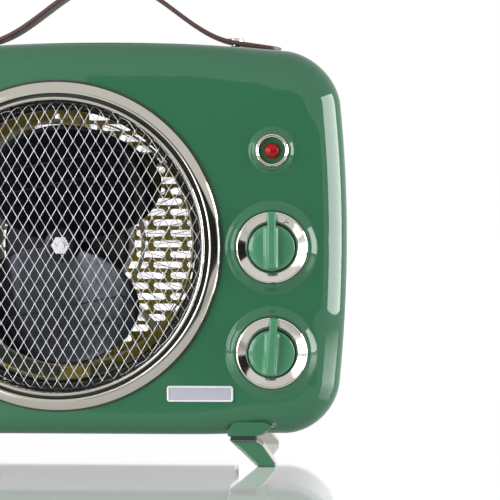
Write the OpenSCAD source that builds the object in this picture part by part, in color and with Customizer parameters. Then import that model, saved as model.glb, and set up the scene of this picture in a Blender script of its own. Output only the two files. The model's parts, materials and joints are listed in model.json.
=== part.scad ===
// Retro fan heater. Front view coordinates are u to the right, v up from the table
// and w towards the viewer from the front face; place() turns them into the real frame.

/* [Body] */
// Width of the body
body_w = 340; // [325:1:380]
// Height of the body
body_h = 273; // [268:1:300]
// Depth of the body from front face to rear face
body_d = 145; // [138:1:170]
// Depth of the front shell, from its face to the parting line
front_d = 50; // [46:1:56]
// Height of the body's underside above the table
ground_gap = 20; // [17:1:30]
// Radius of the body's corners, seen from the front
corner_r = 36.5; // [34:0.5:44]
// How far the sides bow out at mid-height
side_bow = 9; // [2:0.5:12]
// How far the top arches up at its middle
top_bow = 9; // [4:0.5:12]
// Rounding between the front face and the sides
front_round = 18; // [14:1:18]
// Rounding between the rear face and the sides
rear_round = 23; // [16:1:26]
// Wall of the two shells
wall = 2.5; // [2:0.1:3.2]

/* [Outlet] */
// Space between the chrome ring and the body's left side
outlet_margin = 26.8; // [26:0.2:29]
// How far the outlet's centre lies below the body's middle
outlet_drop = 4.5; // [0:0.5:6]
// Space between the chrome ring and the body's underside
outlet_floor = 18.8; // [18.4:0.2:24]
// Space between the chrome ring and the dials' shoulders
outlet_gap = 5.5; // [4:0.1:9]
// Width of the chrome ring
bezel_w = 13; // [11.4:0.2:14]
// How far the ring's lip stands proud of the face
lip_rise = 9.2; // [6:0.2:12]
// How far the ring's bevel stands proud of the face
bevel_rise = 5; // [3.5:0.1:6]
// Thickness of the gasket under the ring
gasket_t = 0.8; // [0.5:0.1:1.2]
// Width of the mesh's diamonds
mesh_u = 12.4; // [11:0.2:20]
// Height of the mesh's diamonds
mesh_v = 21.1; // [19:0.2:30]
// Width of the mesh's strands
strand = 1.3; // [0.8:0.1:2]
// Thickness of the mesh
mesh_t = 1; // [0.8:0.1:1.5]
// Width of the mesh's bent rim
mesh_rim = 5.4; // [4.4:0.2:8]
// Space between the chrome ring's bore and the steel duct
duct_in = 3.7; // [2.4:0.1:5]
// Depth of the duct's rear edge behind the face
duct_end = 45; // [40:1:48]

/* [Fan and motor] */
// Space between the blades' tips and the duct
fan_gap = 13; // [9:0.5:18]
// Depth of the fan's middle plane behind the face
fan_depth = 31; // [30:0.5:32]
// Pitch of the blades
blade_pitch = 16; // [10:1:17]
// A blade's widest chord, as a share of the fan's diameter
blade_share = 0.704; // [0.6:0.002:0.72]
// Thickness of the blades
blade_t = 1.4; // [1:0.1:2]
// Radius of the hub
hub_r = 12; // [10:0.5:14]
// Radius of the motor shaft
shaft_r = 3; // [2.5:0.1:3.5]
// Running clearance of shafts in their bushes
run_gap = 0.05; // [0.03:0.01:0.08]
// Radius of the motor cover
cover_r = 44.6; // [43:0.1:46]
// Width of the stator
stator_w = 44; // [40:1:48]
// Thickness of the stator's stack
stack_t = 18; // [14:1:20]
// Radius of the rotor
rotor_r = 12; // [10:0.5:13]

/* [Heating element] */
// Radius of the element's inner mica tube
element_inner = 52.2; // [50:0.2:54]
// How much smaller the element is than the duct
element_in = 7.5; // [6.5:0.5:10]
// Depth of the element's front edge behind the face
element_front = 62; // [61:0.5:64]
// Length of the element from front to back
element_l = 24; // [20:1:26]
// Radius of the heating wire
wire_r = 0.5; // [0.4:0.05:0.55]

/* [Controls] */
// Space between the knobs' centres and the body's right side
column_inset = 52; // [50:0.5:56]
// Height of the selector above the body's underside
high_up = 131.6; // [128:0.2:140]
// Height of the thermostat above the body's underside
low_up = 59.2; // [56:0.2:64]
// Outer radius of the dials
dial_r = 24.5; // [23:0.1:26]
// Inner radius of the dials
dial_inner = 16.95; // [16.5:0.1:18]
// Radius of the knobs
knob_r = 15.45; // [14:0.1:16]
// How far the knobs' grips stand proud of the face
knob_rise = 17; // [14:0.5:22]
// Width of the moulded shoulder round each dial
shoulder = 4.8; // [3:0.1:6]
// Radius of the spindles
spindle_r = 3; // [2.5:0.1:3.2]
// Turn of the thermostat knob at rest, clockwise from the top
low_turn = 4; // [0:1:20]

/* [Pilot light] */
// Height of the pilot light above the body's underside
lamp_up = 197.9; // [192:0.2:206]
// Outer radius of the pilot light's ring
lamp_r = 11.4; // [10.5:0.1:12.5]
// Radius of the lens
lens_r = 5.2; // [4.5:0.1:6]

/* [Badge] */
// Length of the bare badge plate
badge_l = 45.8; // [40:0.2:50]
// Height of the badge plate
badge_h = 11.1; // [9:0.1:13]
// Height of the badge above the body's underside
badge_up = 30.6; // [29:0.2:34]

/* [Handle] */
// Space between each strap stud and the middle of the body
stud_x = 90; // [84:1:98]
// Space between the strap's ends and the middle of the body
strap_x = 123; // [118:1:126]
// Height of the strap's arch
strap_arch = 45; // [38:1:55]
// Thickness of the strap
strap_t = 2.8; // [2.4:0.1:3.6]
// Width of the strap
strap_w = 22; // [18:0.5:26]
// Depth of the strap's middle behind the face
strap_depth = 72; // [68:1:80]
// Radius of the stud heads
stud_r = 6.3; // [5:0.1:7]

/* [Feet] */
// Distance of each foot's inner top corner from the middle
foot_in = 88.5; // [84:0.5:92]
// Width of a foot at its top
foot_w = 19; // [17:0.5:22]
// Width of a foot's sole
sole_w = 13.6; // [12:0.2:17]
// How far a foot splays outwards
foot_splay = 19; // [14:0.5:22]
// Depth of the rear feet's soles behind the face
track = 113; // [104:1:118]
// Thickness of the pad above each foot
pad_t = 3; // [2:0.2:4]

/* [Hidden] */
$fn = 64;

half_w = body_w / 2;
half_h = body_h / 2;
mid_v = ground_gap + half_h;
corner_steps = 9;
side_steps = 6;
gland_proud = 7;
face_y = (knob_rise - body_d - gland_proud) / 2;
clear = 0.4;
tight = 0.02;

outlet_up = half_h - outlet_drop;
bezel_r = min(outlet_up - outlet_floor,
  (body_w - outlet_margin - column_inset - dial_r - shoulder - outlet_gap) / 2);
bezel_inner = bezel_r - bezel_w;
mesh_flat = bezel_inner - mesh_rim;
duct_r = bezel_inner - duct_in;
fan_r = duct_r - fan_gap;
blade_half = fan_r * blade_share;
element_outer = duct_r - element_in;
outlet_u = -half_w + outlet_margin + bezel_r;
outlet_v = ground_gap + outlet_up;
sleeve_r = bezel_inner + 1.6;
opening_r = sleeve_r + clear;
sleeve_end = 9;
collar_floor = sleeve_end + 0.3;
collar_t = 2.5;
collar_r = opening_r + 10;
screw_ring = opening_r + 5.6;
screw_r = 1.5;
duct_flange = collar_floor + collar_t;

column_u = half_w - column_inset;
high_v = ground_gap + high_up;
low_v = ground_gap + low_up;
lamp_v = ground_gap + lamp_up;
badge_u = column_u - 49.4;
badge_v = ground_gap + badge_up;

intake_u = outlet_u;
intake_v = outlet_v + 4;
intake_r = bezel_inner - 3;
plate_r = intake_r + 5.5;
rivet_ring = intake_r + 2.8;

boss_u = half_w - 35;
boss_v = half_h - 35.5;
boss_r = 5;
boss_ledge = 4;

// The rounded outline, bowed at the sides and arched at the top, from the body's middle
signs = [[1, 1], [-1, 1], [-1, -1], [1, -1]];
function turned(a) = [cos(a), sin(a)];
function bowed(p) = [
  p.x * (1 - side_bow / half_w * pow(p.y / half_h, 2)),
  p.y - (p.y > 0 ? top_bow * p.y / half_h * pow(p.x / half_w, 2) : 0)];
function outline(inset) =
  let (r = max(corner_r - inset, 4), a = half_w - inset - r, b = half_h - inset - r)
  [for (q = [0:3])
    let (c = [signs[q].x * a, signs[q].y * b], n = signs[(q + 1) % 4],
      from = c + r * turned(90 * q + 90), to = [n.x * a, n.y * b] + r * turned(90 * q + 90))
    each concat(
      [for (i = [0:corner_steps]) bowed(c + r * turned(90 * (q + i / corner_steps)))],
      [for (j = [1:side_steps - 1]) bowed(from + (to - from) * j / side_steps)])];
function ring(inset, w) = [for (p = outline(inset)) [p.x, p.y + mid_v, w]];

// A closed skin over rings of points that lie above each other
module skin(rings) {
  n = len(rings[0]);
  m = len(rings);
  polyhedron([for (r = rings) each r], concat(
    [[for (i = [0:n - 1]) i]],
    [for (k = [0:m - 2], i = [0:n - 1]) [k * n + (i + 1) % n, k * n + i, (k + 1) * n + i]],
    [for (k = [0:m - 2], i = [0:n - 1]) [(k + 1) * n + (i + 1) % n, k * n + (i + 1) % n, (k + 1) * n + i]],
    [[for (i = [n - 1:-1:0]) (m - 1) * n + i]]), convexity = 6);
}

// The body's form between two depths, drawn in by an inset all round
module front_form(inset) {
  r = front_round - inset;
  skin(concat([ring(inset, -front_d - (inset > 0 ? 1 : 0))],
    [for (i = [0:6]) ring(inset + r * (1 - cos(15 * i)), -front_round + r * sin(15 * i))]));
}
module rear_form(inset) {
  r = rear_round - inset;
  skin(concat(
    [for (i = [6:-1:0]) ring(inset + r * (1 - cos(15 * i)), -body_d + rear_round - r * sin(15 * i))],
    [ring(inset, -front_d + (inset > 0 ? 1 : 0))]));
}

module place() translate([0, face_y, 0]) rotate([90, 0, 0]) children();
module at(u, v, w = 0) translate([u, v, w]) children();
module rod(r, w0, w1) translate([0, 0, min(w0, w1)]) cylinder(r = r, h = abs(w1 - w0));
module hexagon(r, w0, w1) translate([0, 0, min(w0, w1)]) cylinder(r = r, h = abs(w1 - w0), $fn = 6);
module four_round(r) for (a = [45:90:315]) rotate(a) translate([r, 0, 0]) children();
module turn(points) rotate_extrude() polygon(points);
function arc(c, r, a0, a1, n = 6) = [for (i = [0:n]) c + r * turned(a0 + (a1 - a0) * i / n)];

// Shells
module corner_bosses(r, w0, w1)
  for (s = signs) at(s.x * boss_u, mid_v + s.y * boss_v) rod(r, w0, w1);
dial_seat = 0.5;
shoulder_rise = 3.5;
module dial_shoulder() turn(concat([[0, -1], [dial_r + shoulder, -1], [dial_r + shoulder, 0.2]],
  arc([dial_r + clear / 2 + 1.2, shoulder_rise - 1], 1, 60, 90, 3), [[0, shoulder_rise]]));
lamp_shoulder = 2.5;
lamp_hole = 9.6;
post_high = (high_v + lamp_v) / 2;
post_mid = (high_v + low_v) / 2;
post_low = low_v - 33;
control_depth = 12;
foot_top = ground_gap - pad_t;
boss_h = 14;
module foot_boss() intersection() {
  translate([0, 0, -30]) linear_extrude(40) polygon([
    [foot_in - 1, ground_gap], [foot_in + foot_w + 2, ground_gap],
    [foot_in + foot_w + 13, ground_gap + boss_h], [foot_in - 1, ground_gap + boss_h]]);
  translate([foot_in - 5, 0, 0]) rotate([90, 0, 90]) linear_extrude(foot_w + 25) polygon([
    [ground_gap, -28], [ground_gap, -4], [ground_gap + boss_h, -0.4], [ground_gap + boss_h, -28]]);
}
foot_screw_u = foot_in + 11.5;
foot_screw_w = 15;
foot_screw_r = 2;
screw_floor = ground_gap + 10;
rear_screw_w = track - foot_screw_w;
module upright(u, w, r, v0, v1) translate([u, min(v0, v1), w]) rotate([-90, 0, 0]) cylinder(r = r, h = abs(v1 - v0));

module front_shell() color([0.2, 0.45, 0.31]) place() difference() {
  union() {
    difference() {
      union() {
        front_form(0);
        for (v = [high_v, low_v]) at(column_u, v) dial_shoulder();
        at(column_u, lamp_v) turn([[0, -1], [lamp_r + 2.6, -1], [lamp_r + 2.6, 0.1],
          [lamp_r + 1.4, lamp_shoulder - 0.4], [lamp_r + 0.6, lamp_shoulder], [0, lamp_shoulder]]);
      }
      front_form(wall);
    }
    for (s = [0, 1]) mirror([s, 0, 0]) foot_boss();
    corner_bosses(boss_r, -front_d, -wall + 0.5);
    for (v = [post_low, post_mid, post_high]) at(column_u, v) rod(4, -control_depth, -wall + 0.5);
  }
  at(outlet_u, outlet_v) rod(opening_r, -wall - 1, 1);
  at(outlet_u, outlet_v) four_round(screw_ring) rod(screw_r + clear / 2, -wall - 1, 1);
  for (v = [high_v, low_v]) at(column_u, v) {
    rod(dial_r + clear / 2, dial_seat, 10);
    rod(dial_inner - 0.6, -wall - 1, 1);
  }
  at(column_u, lamp_v) {
    rod(lamp_hole, -0.5, 5);
    rod(lens_r + clear / 4, -wall - 1, 1);
  }
  corner_bosses(1.75 + tight, -front_d - 1, -front_d + 20);
  for (v = [post_low, post_mid, post_high]) at(column_u, v) rod(screw_r + tight, -control_depth - 1, -5);
  for (s = [-1, 1]) upright(s * foot_screw_u, -foot_screw_w, foot_screw_r + clear / 2, ground_gap - 1, screw_floor + 20);
  for (s = [-1, 1]) upright(s * foot_screw_u, -foot_screw_w, 4, screw_floor, screw_floor + 20);
}

gland_u = column_u;
gland_v = ground_gap + 32;
gland_r = 6;
plate_w = -body_d + wall;
post_v = plate_r + 9.6;
bracket_w = -92;
bracket_t = 1.5;
tongue_t = 1.5;
module stud_places() for (s = [-1, 1]) translate([s * stud_x, 0, -strap_depth]) rotate([-90, 0, 0]) children();
top_v = mid_v + half_h - top_bow * pow(stud_x / half_w, 2);
stud_hole = 1.5;

module rear_shell() color([0.82, 0.84, 0.84]) place() difference() {
  union() {
    difference() {
      rear_form(0);
      rear_form(wall);
    }
    difference() {
      skin([ring(wall - 0.5, -front_d - 3), ring(wall - 0.5, -front_d),
        ring(wall + 0.2, -front_d), ring(wall + 0.2, -front_d + 3)]);
      skin([ring(wall + 0.2 + tongue_t, -front_d - 4), ring(wall + 0.2 + tongue_t, -front_d + 4)]);
    }
    corner_bosses(boss_r + 1, plate_w - 0.5, -front_d);
    for (s = [-1, 1]) at(outlet_u, outlet_v + s * post_v) rod(boss_r, plate_w - 0.5, bracket_w - bracket_t);
    for (s = [-1, 1]) upright(s * foot_screw_u, -rear_screw_w, 6, ground_gap + 1, screw_floor);
  }
  at(intake_u, intake_v) rod(intake_r, plate_w - wall - 1, plate_w + 1);
  at(intake_u, intake_v) four_round(rivet_ring) rod(screw_r + tight, plate_w - wall - 1, plate_w + 1);
  corner_bosses(1.9, -body_d - 1, -front_d + 1);
  corner_bosses(3.6, -body_d - 1, -front_d - boss_ledge);
  for (s = [-1, 1]) at(outlet_u, outlet_v + s * post_v) rod(screw_r + tight, bracket_w - 14, bracket_w + 1);
  for (s = [-1, 1]) upright(s * foot_screw_u, -rear_screw_w, foot_screw_r + clear / 2, ground_gap - 1, screw_floor + 1);
  stud_places() rod(stud_hole + clear / 2, top_v - wall - 3, top_v + 3);
  at(gland_u, gland_v) rod(gland_r + tight, -body_d - 1, plate_w + 1);
}

module shell_screws() color("silver") place() {
  corner_bosses(3.2, -front_d - boss_ledge - 2.4, -front_d - boss_ledge);
  corner_bosses(1.75, -front_d - boss_ledge - 0.5, -front_d + 16);
}

// The intake plate, with round-ended slots in rows, every other row moved by half a step
slot_u = 26;
slot_v = 8.1;
slot_h = 5.1;
slot_l = 22.5;
slot_field = intake_r - 3;
function slot_spans() = let (n = ceil(slot_field / slot_v), m = ceil(slot_field / slot_u))
  [for (j = [-n:n], i = [-m:m])
    let (v = j * slot_v, edge = abs(v) + slot_h / 2,
      half = edge < slot_field ? sqrt(slot_field * slot_field - edge * edge) : 0,
      c = (i + (j % 2 == 0 ? 0 : 0.5)) * slot_u,
      a = max(-half, c - slot_l / 2), b = min(half, c + slot_l / 2))
    if (b - a > 1.6 * slot_h) [a + slot_h / 2, b - slot_h / 2, v]];
slot_ends = 5;
function slot_points(s) = concat(arc([s[1], s[2]], slot_h / 2, -90, 90, slot_ends - 1),
  arc([s[0], s[2]], slot_h / 2, 90, 270, slot_ends - 1));
rim_n = 96;
function holed_points(r, holes) = concat([for (i = [0:rim_n - 1]) r * turned(360 * i / rim_n)], [for (h = holes) each h]);
function holed_paths(holes) = concat([[for (i = [0:rim_n - 1]) i]],
  [for (k = [0:len(holes) - 1]) [for (i = [0:len(holes[0]) - 1]) rim_n + k * len(holes[0]) + i]]);
module holed_disc(r, holes, t) linear_extrude(t) polygon(holed_points(r, holes), holed_paths(holes));

module intake_plate() color([0.62, 0.56, 0.2]) place() at(intake_u, intake_v, plate_w) difference() {
  union() {
    holed_disc(slot_field + 1.5, [for (s = slot_spans()) slot_points(s)], 1);
    difference() {
      rod(plate_r, 0, 1);
      rod(slot_field + 1, -1, 2);
    }
  }
  four_round(rivet_ring) rod(screw_r + tight, -1, 2);
}
rivet_head = 2.4;
module plate_rivets() color("silver") place() at(intake_u, intake_v, plate_w) four_round(rivet_ring) {
  rod(screw_r, -wall - 0.5, 1.5);
  rod(rivet_head, 1, 2);
  rod(rivet_head, -wall - 1, -wall);
}

// Outlet
lip_u = bezel_inner + 1.5;
bevel_in = bezel_inner + 5.6;
module bezel_ring() color([0.85, 0.85, 0.84]) place() at(outlet_u, outlet_v) difference() {
  turn(concat([[bezel_inner, -sleeve_end]],
    arc([lip_u, lip_rise - 1.5], 1.5, 180, 0, 8),
    [[lip_u + 1.7, gasket_t + 1.8], [bevel_in - 0.8, gasket_t + 1.8], [bevel_in, bevel_rise]],
    [for (i = [1:6]) [bevel_in + (bezel_r - bevel_in) * sin(15 * i), gasket_t + 0.8 + (bevel_rise - gasket_t - 0.8) * cos(15 * i)]],
    [[bezel_r, gasket_t], [sleeve_r, gasket_t], [sleeve_r, -sleeve_end]]));
  four_round(screw_ring) rod(screw_r + tight, gasket_t - 1, bevel_rise - 1.2);
}
module bezel_gasket() color([0.03, 0.03, 0.03]) place() at(outlet_u, outlet_v) difference() {
  rod(bezel_r + 1.2, 0, gasket_t);
  rod(opening_r, -1, gasket_t + 1);
  four_round(screw_ring) rod(screw_r + clear / 2, -1, gasket_t + 1);
}
module bezel_screws() color("silver") place() at(outlet_u, outlet_v) four_round(screw_ring) {
  rod(screw_r, -wall - collar_t - 0.5, bevel_rise - 1.6);
  rod(2.8, -wall - collar_t - 2, -wall - collar_t);
}

// The diamond mesh: a hole's corners past the rim are drawn in to it
function drawn_in(p, r) = norm(p) > r ? p * r / norm(p) : p;
function mesh_holes() = let (a = mesh_u / 2, b = mesh_v / 2,
    k = 1 - strand / 2 / (a * b / norm([a, b])), n = ceil(mesh_flat / a), m = ceil(mesh_flat / b))
  [for (i = [-n:n], j = [-m:m]) if ((i + j) % 2 == 0 && norm([i * a, j * b]) < mesh_flat - a / 2)
    [for (d = [[a, 0], [0, b], [-a, 0], [0, -b]]) drawn_in([i * a, j * b] + k * d, mesh_flat - 1.2)]];
mesh_r = bezel_inner - 0.3;
module grille_mesh() color([0.75, 0.76, 0.78]) place() at(outlet_u, outlet_v) {
  holed_disc(mesh_flat, mesh_holes(), mesh_t);
  turn([[mesh_flat - 0.5, 0], [mesh_flat - 0.5, mesh_t], [mesh_r - 2.2, mesh_t - 0.4], [mesh_r - 0.6, -1],
    [mesh_r, -4], [mesh_r, -sleeve_end + 0.2], [mesh_r - 0.9, -sleeve_end + 0.2], [mesh_r - 0.9, -4.2],
    [mesh_r - 1.6, -1.8], [mesh_r - 3, -0.6]]);
}
module grille_collar() color([0.05, 0.05, 0.06]) place() at(outlet_u, outlet_v) difference() {
  turn([[duct_r - 1, -collar_floor], [opening_r, -collar_floor], [opening_r, -wall], [collar_r, -wall],
    [collar_r, -wall - collar_t], [opening_r + 2.5, -wall - collar_t], [opening_r + 2.5, -duct_flange],
    [duct_r - 1, -duct_flange]]);
  four_round(screw_ring) rod(screw_r + clear / 2, -wall - collar_t - 1, -wall + 1);
  rotate(22.5) four_round(duct_r + 4) rod(1.2 + tight, -duct_flange - 1, -collar_floor + 1);
}
module duct_ring() color([0.62, 0.56, 0.2]) place() at(outlet_u, outlet_v) difference() {
  turn([[duct_r, -duct_flange], [opening_r + 1.8, -duct_flange], [opening_r + 1.8, -duct_flange - 1],
    [duct_r + 1, -duct_flange - 1], [duct_r + 1, -duct_end], [duct_r, -duct_end]]);
  rotate(22.5) four_round(duct_r + 4) rod(1.2 + tight, -duct_flange - 2, -duct_flange + 1);
}
module duct_rivets() color("silver") place() at(outlet_u, outlet_v) rotate(22.5) four_round(duct_r + 4) {
  rod(1.2, -duct_flange - 1.5, -collar_floor + 0.2);
  rod(2.2, -duct_flange - 1.8, -duct_flange - 1);
}

// Fan: two paddle blades cut from a bent sheet by their outline
hub_front = fan_depth - 11;
hub_rear = fan_depth + 11;
blade_centre = fan_r * 0.515;
camber_r = 180;
blade_crest = 6;
paddle = [for (a = [0:7.5:352.5]) let (p = [blade_half * cos(a), blade_centre + blade_centre * sin(a)])
  drawn_in(p, fan_r)];
module blade() intersection() {
  translate([0, 0, -30]) linear_extrude(60) polygon(paddle);
  rotate([0, blade_pitch, 0]) translate([0, 0, blade_crest - camber_r]) rotate([-90, 0, 0]) difference() {
    cylinder(r = camber_r, h = fan_r + 1);
    translate([0, 0, -1]) cylinder(r = camber_r - blade_t, h = fan_r + 3);
  }
}
blade_angle = -10.5;
module fan_impeller() color([0.12, 0.12, 0.13]) place() at(outlet_u, outlet_v) difference() {
  union() {
    for (s = [0, 180]) at(0, 0, -fan_depth) rotate(blade_angle + s) blade();
    rod(hub_r, -hub_rear, -hub_front);
  }
  rod(shaft_r + tight, -hub_rear - 1, -hub_front + 1);
}
nut_t = 4;
module fan_nut() color("silver") place() at(outlet_u, outlet_v) difference() {
  hexagon(6.5, -hub_front, -hub_front + nut_t);
  rod(shaft_r + tight, -hub_front - 1, -hub_front + nut_t + 1);
}

// Motor, from its front frame to the bracket that carries it
cover_t = 1.2;
cover_front = 47.5;
frame_t = 2.5;
stack_rear = -bracket_w - frame_t - 8.5;
stack_front = stack_rear - stack_t;
front_bar = stack_front - 7;
lug_u = stator_w / 2 - 5;
bush_r = 5;
bush_l = 8;
module motor_shaft() color("silver") place() at(outlet_u, outlet_v)
  rod(shaft_r, bracket_w - 4, -hub_front + nut_t + 1.5);
module motor_rotor() color([0.5, 0.5, 0.52]) place() at(outlet_u, outlet_v) difference() {
  rod(rotor_r, -stack_rear, -stack_front);
  rod(shaft_r + tight, -stack_rear - 1, -stack_front + 1);
}
leg_top = -rotor_r - 11;
leg_bottom = leg_top - 7;
coil_t = 6.5;
module motor_stator() color([0.35, 0.35, 0.37]) place() at(outlet_u, outlet_v, -stack_rear) difference() {
  linear_extrude(stack_t) difference() {
    polygon([[-stator_w / 2, leg_bottom], [stator_w / 2, leg_bottom], [stator_w / 2, rotor_r + 5],
      [stator_w / 2 - 5, rotor_r + 10], [-stator_w / 2 + 5, rotor_r + 10], [-stator_w / 2, rotor_r + 5]]);
    circle(rotor_r + 0.4);
    polygon([[-stator_w / 2 + 7, leg_top], [stator_w / 2 - 7, leg_top], [stator_w / 2 - 7, leg_top + 7.4],
      [-stator_w / 2 + 7, leg_top + 7.4]]);
  }
  for (s = [-1, 1]) translate([s * lug_u, 0, 0]) rod(1.75 + clear / 4, -1, stack_t + 1);
}
module motor_coil() color([0.66, 0.35, 0.16]) place() at(outlet_u, outlet_v, -(stack_front + stack_rear) / 2) {
  w = stator_w / 2 - 7.4;
  difference() {
    translate([-w, leg_bottom - coil_t, -stack_t / 2 - coil_t])
      cube([2 * w, leg_top - leg_bottom + 2 * coil_t, stack_t + 2 * coil_t]);
    translate([-w - 1, leg_bottom - 0.2, -stack_t / 2 - 0.2])
      cube([2 * w + 2, leg_top - leg_bottom + 0.4, stack_t + 0.4]);
  }
}
module motor_frame(w0, w1, stack) difference() {
  union() {
    translate([-lug_u - 5, -6, min(w0, w1)]) cube([2 * lug_u + 10, 12, frame_t]);
    rod(bush_r + 2.5, w0, w0 + sign(w1 - w0) * bush_l);
    for (s = [-1, 1]) translate([s * lug_u, 0, 0]) rod(3.5, w1, stack);
  }
  rod(bush_r + tight, w0 - 20, w1 + 20);
  for (s = [-1, 1]) translate([s * lug_u, 0, 0]) rod(1.75 + clear / 4, w0 - 20, w1 + 20);
}
module motor_front_frame() color([0.7, 0.7, 0.7]) place() at(outlet_u, outlet_v)
  motor_frame(-front_bar + frame_t, -front_bar, -stack_front);
module motor_rear_frame() color([0.7, 0.7, 0.7]) place() at(outlet_u, outlet_v)
  motor_frame(bracket_w, bracket_w + frame_t, -stack_rear);
module bush(w0, w1) difference() {
  rod(bush_r, w0, w1);
  rod(shaft_r + run_gap, w0 - 20, w1 + 20);
}
module front_bush() color([0.7, 0.5, 0.25]) place() at(outlet_u, outlet_v)
  bush(-front_bar + frame_t, -front_bar + frame_t - bush_l);
module rear_bush() color([0.7, 0.5, 0.25]) place() at(outlet_u, outlet_v)
  bush(bracket_w, bracket_w + bush_l);
module motor_screws() color("silver") place() at(outlet_u, outlet_v) for (s = [-1, 1]) at(s * lug_u, 0) {
  rod(1.75, bracket_w - bracket_t - 0.5, -front_bar + frame_t + 2.6);
  rod(3.2, bracket_w - bracket_t - 2.2, bracket_w - bracket_t);
}
module motor_nuts() color("silver") place() at(outlet_u, outlet_v) for (s = [-1, 1]) at(s * lug_u, 0) difference() {
  hexagon(3.6, -front_bar + frame_t, -front_bar + frame_t + 2.4);
  rod(1.75 + tight, -front_bar, -front_bar + 9);
}
module motor_cover() color([0.04, 0.04, 0.05]) place() at(outlet_u, outlet_v)
  turn(concat([[shaft_r + 3, -cover_front]], arc([cover_r - 3, -cover_front - 3], 3, 90, 0),
    [[cover_r, bracket_w], [cover_r - cover_t, bracket_w]],
    arc([cover_r - 3, -cover_front - 3], 3 - cover_t, 0, 90), [[shaft_r + 3, -cover_front - cover_t]]));
bracket_end = post_v + 7;
module motor_bracket() color([0.62, 0.56, 0.2]) place() at(outlet_u, outlet_v) difference() {
  union() {
    translate([0, 0, bracket_w - bracket_t]) linear_extrude(bracket_t) {
      square([22, 2 * bracket_end - 22], center = true);
      for (s = [-1, 1]) translate([0, s * (bracket_end - 11)]) circle(11);
      square([2 * lug_u + 12, 16], center = true);
    }
    for (s = [-1, 1]) translate([-8, s * (element_outer + 2.05) - 0.75, bracket_w - 0.5])
      cube([16, 1.5, -bracket_w + 0.5 - element_front - 6]);
  }
  rod(bush_r + 3, bracket_w - bracket_t - 1, bracket_w + 1);
  for (s = [-1, 1]) at(s * lug_u, 0) rod(1.75 + clear / 4, bracket_w - bracket_t - 1, bracket_w + 1);
  for (s = [-1, 1]) at(0, s * post_v) rod(screw_r + clear / 4, bracket_w - bracket_t - 1, bracket_w + 1);
}
module bracket_screws() color("silver") place() at(outlet_u, outlet_v) for (s = [-1, 1]) at(0, s * post_v) {
  rod(screw_r, bracket_w - bracket_t - 10, bracket_w + 0.5);
  rod(3, bracket_w, bracket_w + 2.2);
}

// Heating element: two mica tubes on four cards, with a wire laid to and fro in each of two layers
tube_t = 1;
card_t = 1.2;
inner_step = element_inner + tube_t + wire_r + 0.2;
outer_step = element_outer - wire_r - 0.2;
layers = [element_front + 6, element_front + 18];
wire_runs = 48;
run_angle = 360 / wire_runs;
module element_frame() color([0.55, 0.5, 0.38]) place() at(outlet_u, outlet_v) {
  difference() {
    rod(element_inner + tube_t, -element_front - element_l, -element_front);
    rod(element_inner, -element_front - element_l - 1, -element_front + 1);
  }
  difference() {
    rod(element_outer + tube_t, -element_front - element_l, -element_front);
    rod(element_outer, -element_front - element_l - 1, -element_front + 1);
  }
  for (a = [45:90:315]) rotate(a) difference() {
    translate([cover_r + clear, -card_t / 2, -element_front - element_l])
      cube([element_outer + 0.5 - cover_r - clear, card_t, element_l]);
    for (d = layers) translate([inner_step, 0, -d]) rotate([90, 0, 0]) cylinder(r = wire_r + 0.5, h = 4, center = true);
  }
}
tag_l = 4.6;
function wire_path() = concat(
  [(element_inner + tube_t + tag_l) * turned(-90 + run_angle / 2)],
  [for (k = [0:wire_runs - 1]) let (a = -90 + run_angle * (k + 0.5))
    each k == 0 ? [outer_step * turned(a)]
      : k == wire_runs - 1 ? [outer_step * turned(a)]
      : k % 2 == 0 ? [inner_step * turned(a), outer_step * turned(a)]
      : [outer_step * turned(a), inner_step * turned(a)]],
  [(element_inner + tube_t + tag_l) * turned(-90 - run_angle / 2)]);
wire_sides = 6;
// Rings across the wire's path: square at its ends and on the halving line at its corners
function wire_ring(path, i, w) =
  let (p = path[i], a = i > 0 ? (p - path[i - 1]) / norm(p - path[i - 1]) : undef,
    b = i < len(path) - 1 ? (path[i + 1] - p) / norm(path[i + 1] - p) : undef,
    t = is_undef(a) ? b : is_undef(b) ? a : (a + b) / norm(a + b),
    side = [-t.y, t.x], stretch = is_undef(a) || is_undef(b) ? 1 : 1 / (a * t))
  [for (q = [0:wire_sides - 1]) let (c = wire_r * turned(360 / wire_sides * q))
    [p.x + side.x * c.x * stretch, p.y + side.y * c.x * stretch, w + c.y]];
module wire(w) let (path = wire_path()) skin([for (i = [0:len(path) - 1]) wire_ring(path, i, w)]);
echo(wire_least_gap = 2 * inner_step * sin(run_angle / 2) - 2 * wire_r);
module heating_wire_1() color([0.25, 0.24, 0.24]) place() at(outlet_u, outlet_v) wire(-layers[0]);
module heating_wire_2() color([0.25, 0.24, 0.24]) place() at(outlet_u, outlet_v) wire(-layers[1]);
module element_terminals() color("silver") place() at(outlet_u, outlet_v)
  for (d = layers, s = [-1, 1]) rotate(-90 + s * run_angle / 2)
    translate([element_inner + tube_t + 0.15, -1.5, -d - 1.5]) cube([tag_l - 0.15, 3, 3]);
module thermal_cutout() color([0.1, 0.1, 0.1]) place() at(outlet_u, outlet_v) rotate(45)
  translate([element_outer - 8, 0, 0]) {
    rod(7, -element_front, -element_front + 6);
    translate([-11, -5, -element_front]) cube([18, 10, 0.8]);
  }

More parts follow.
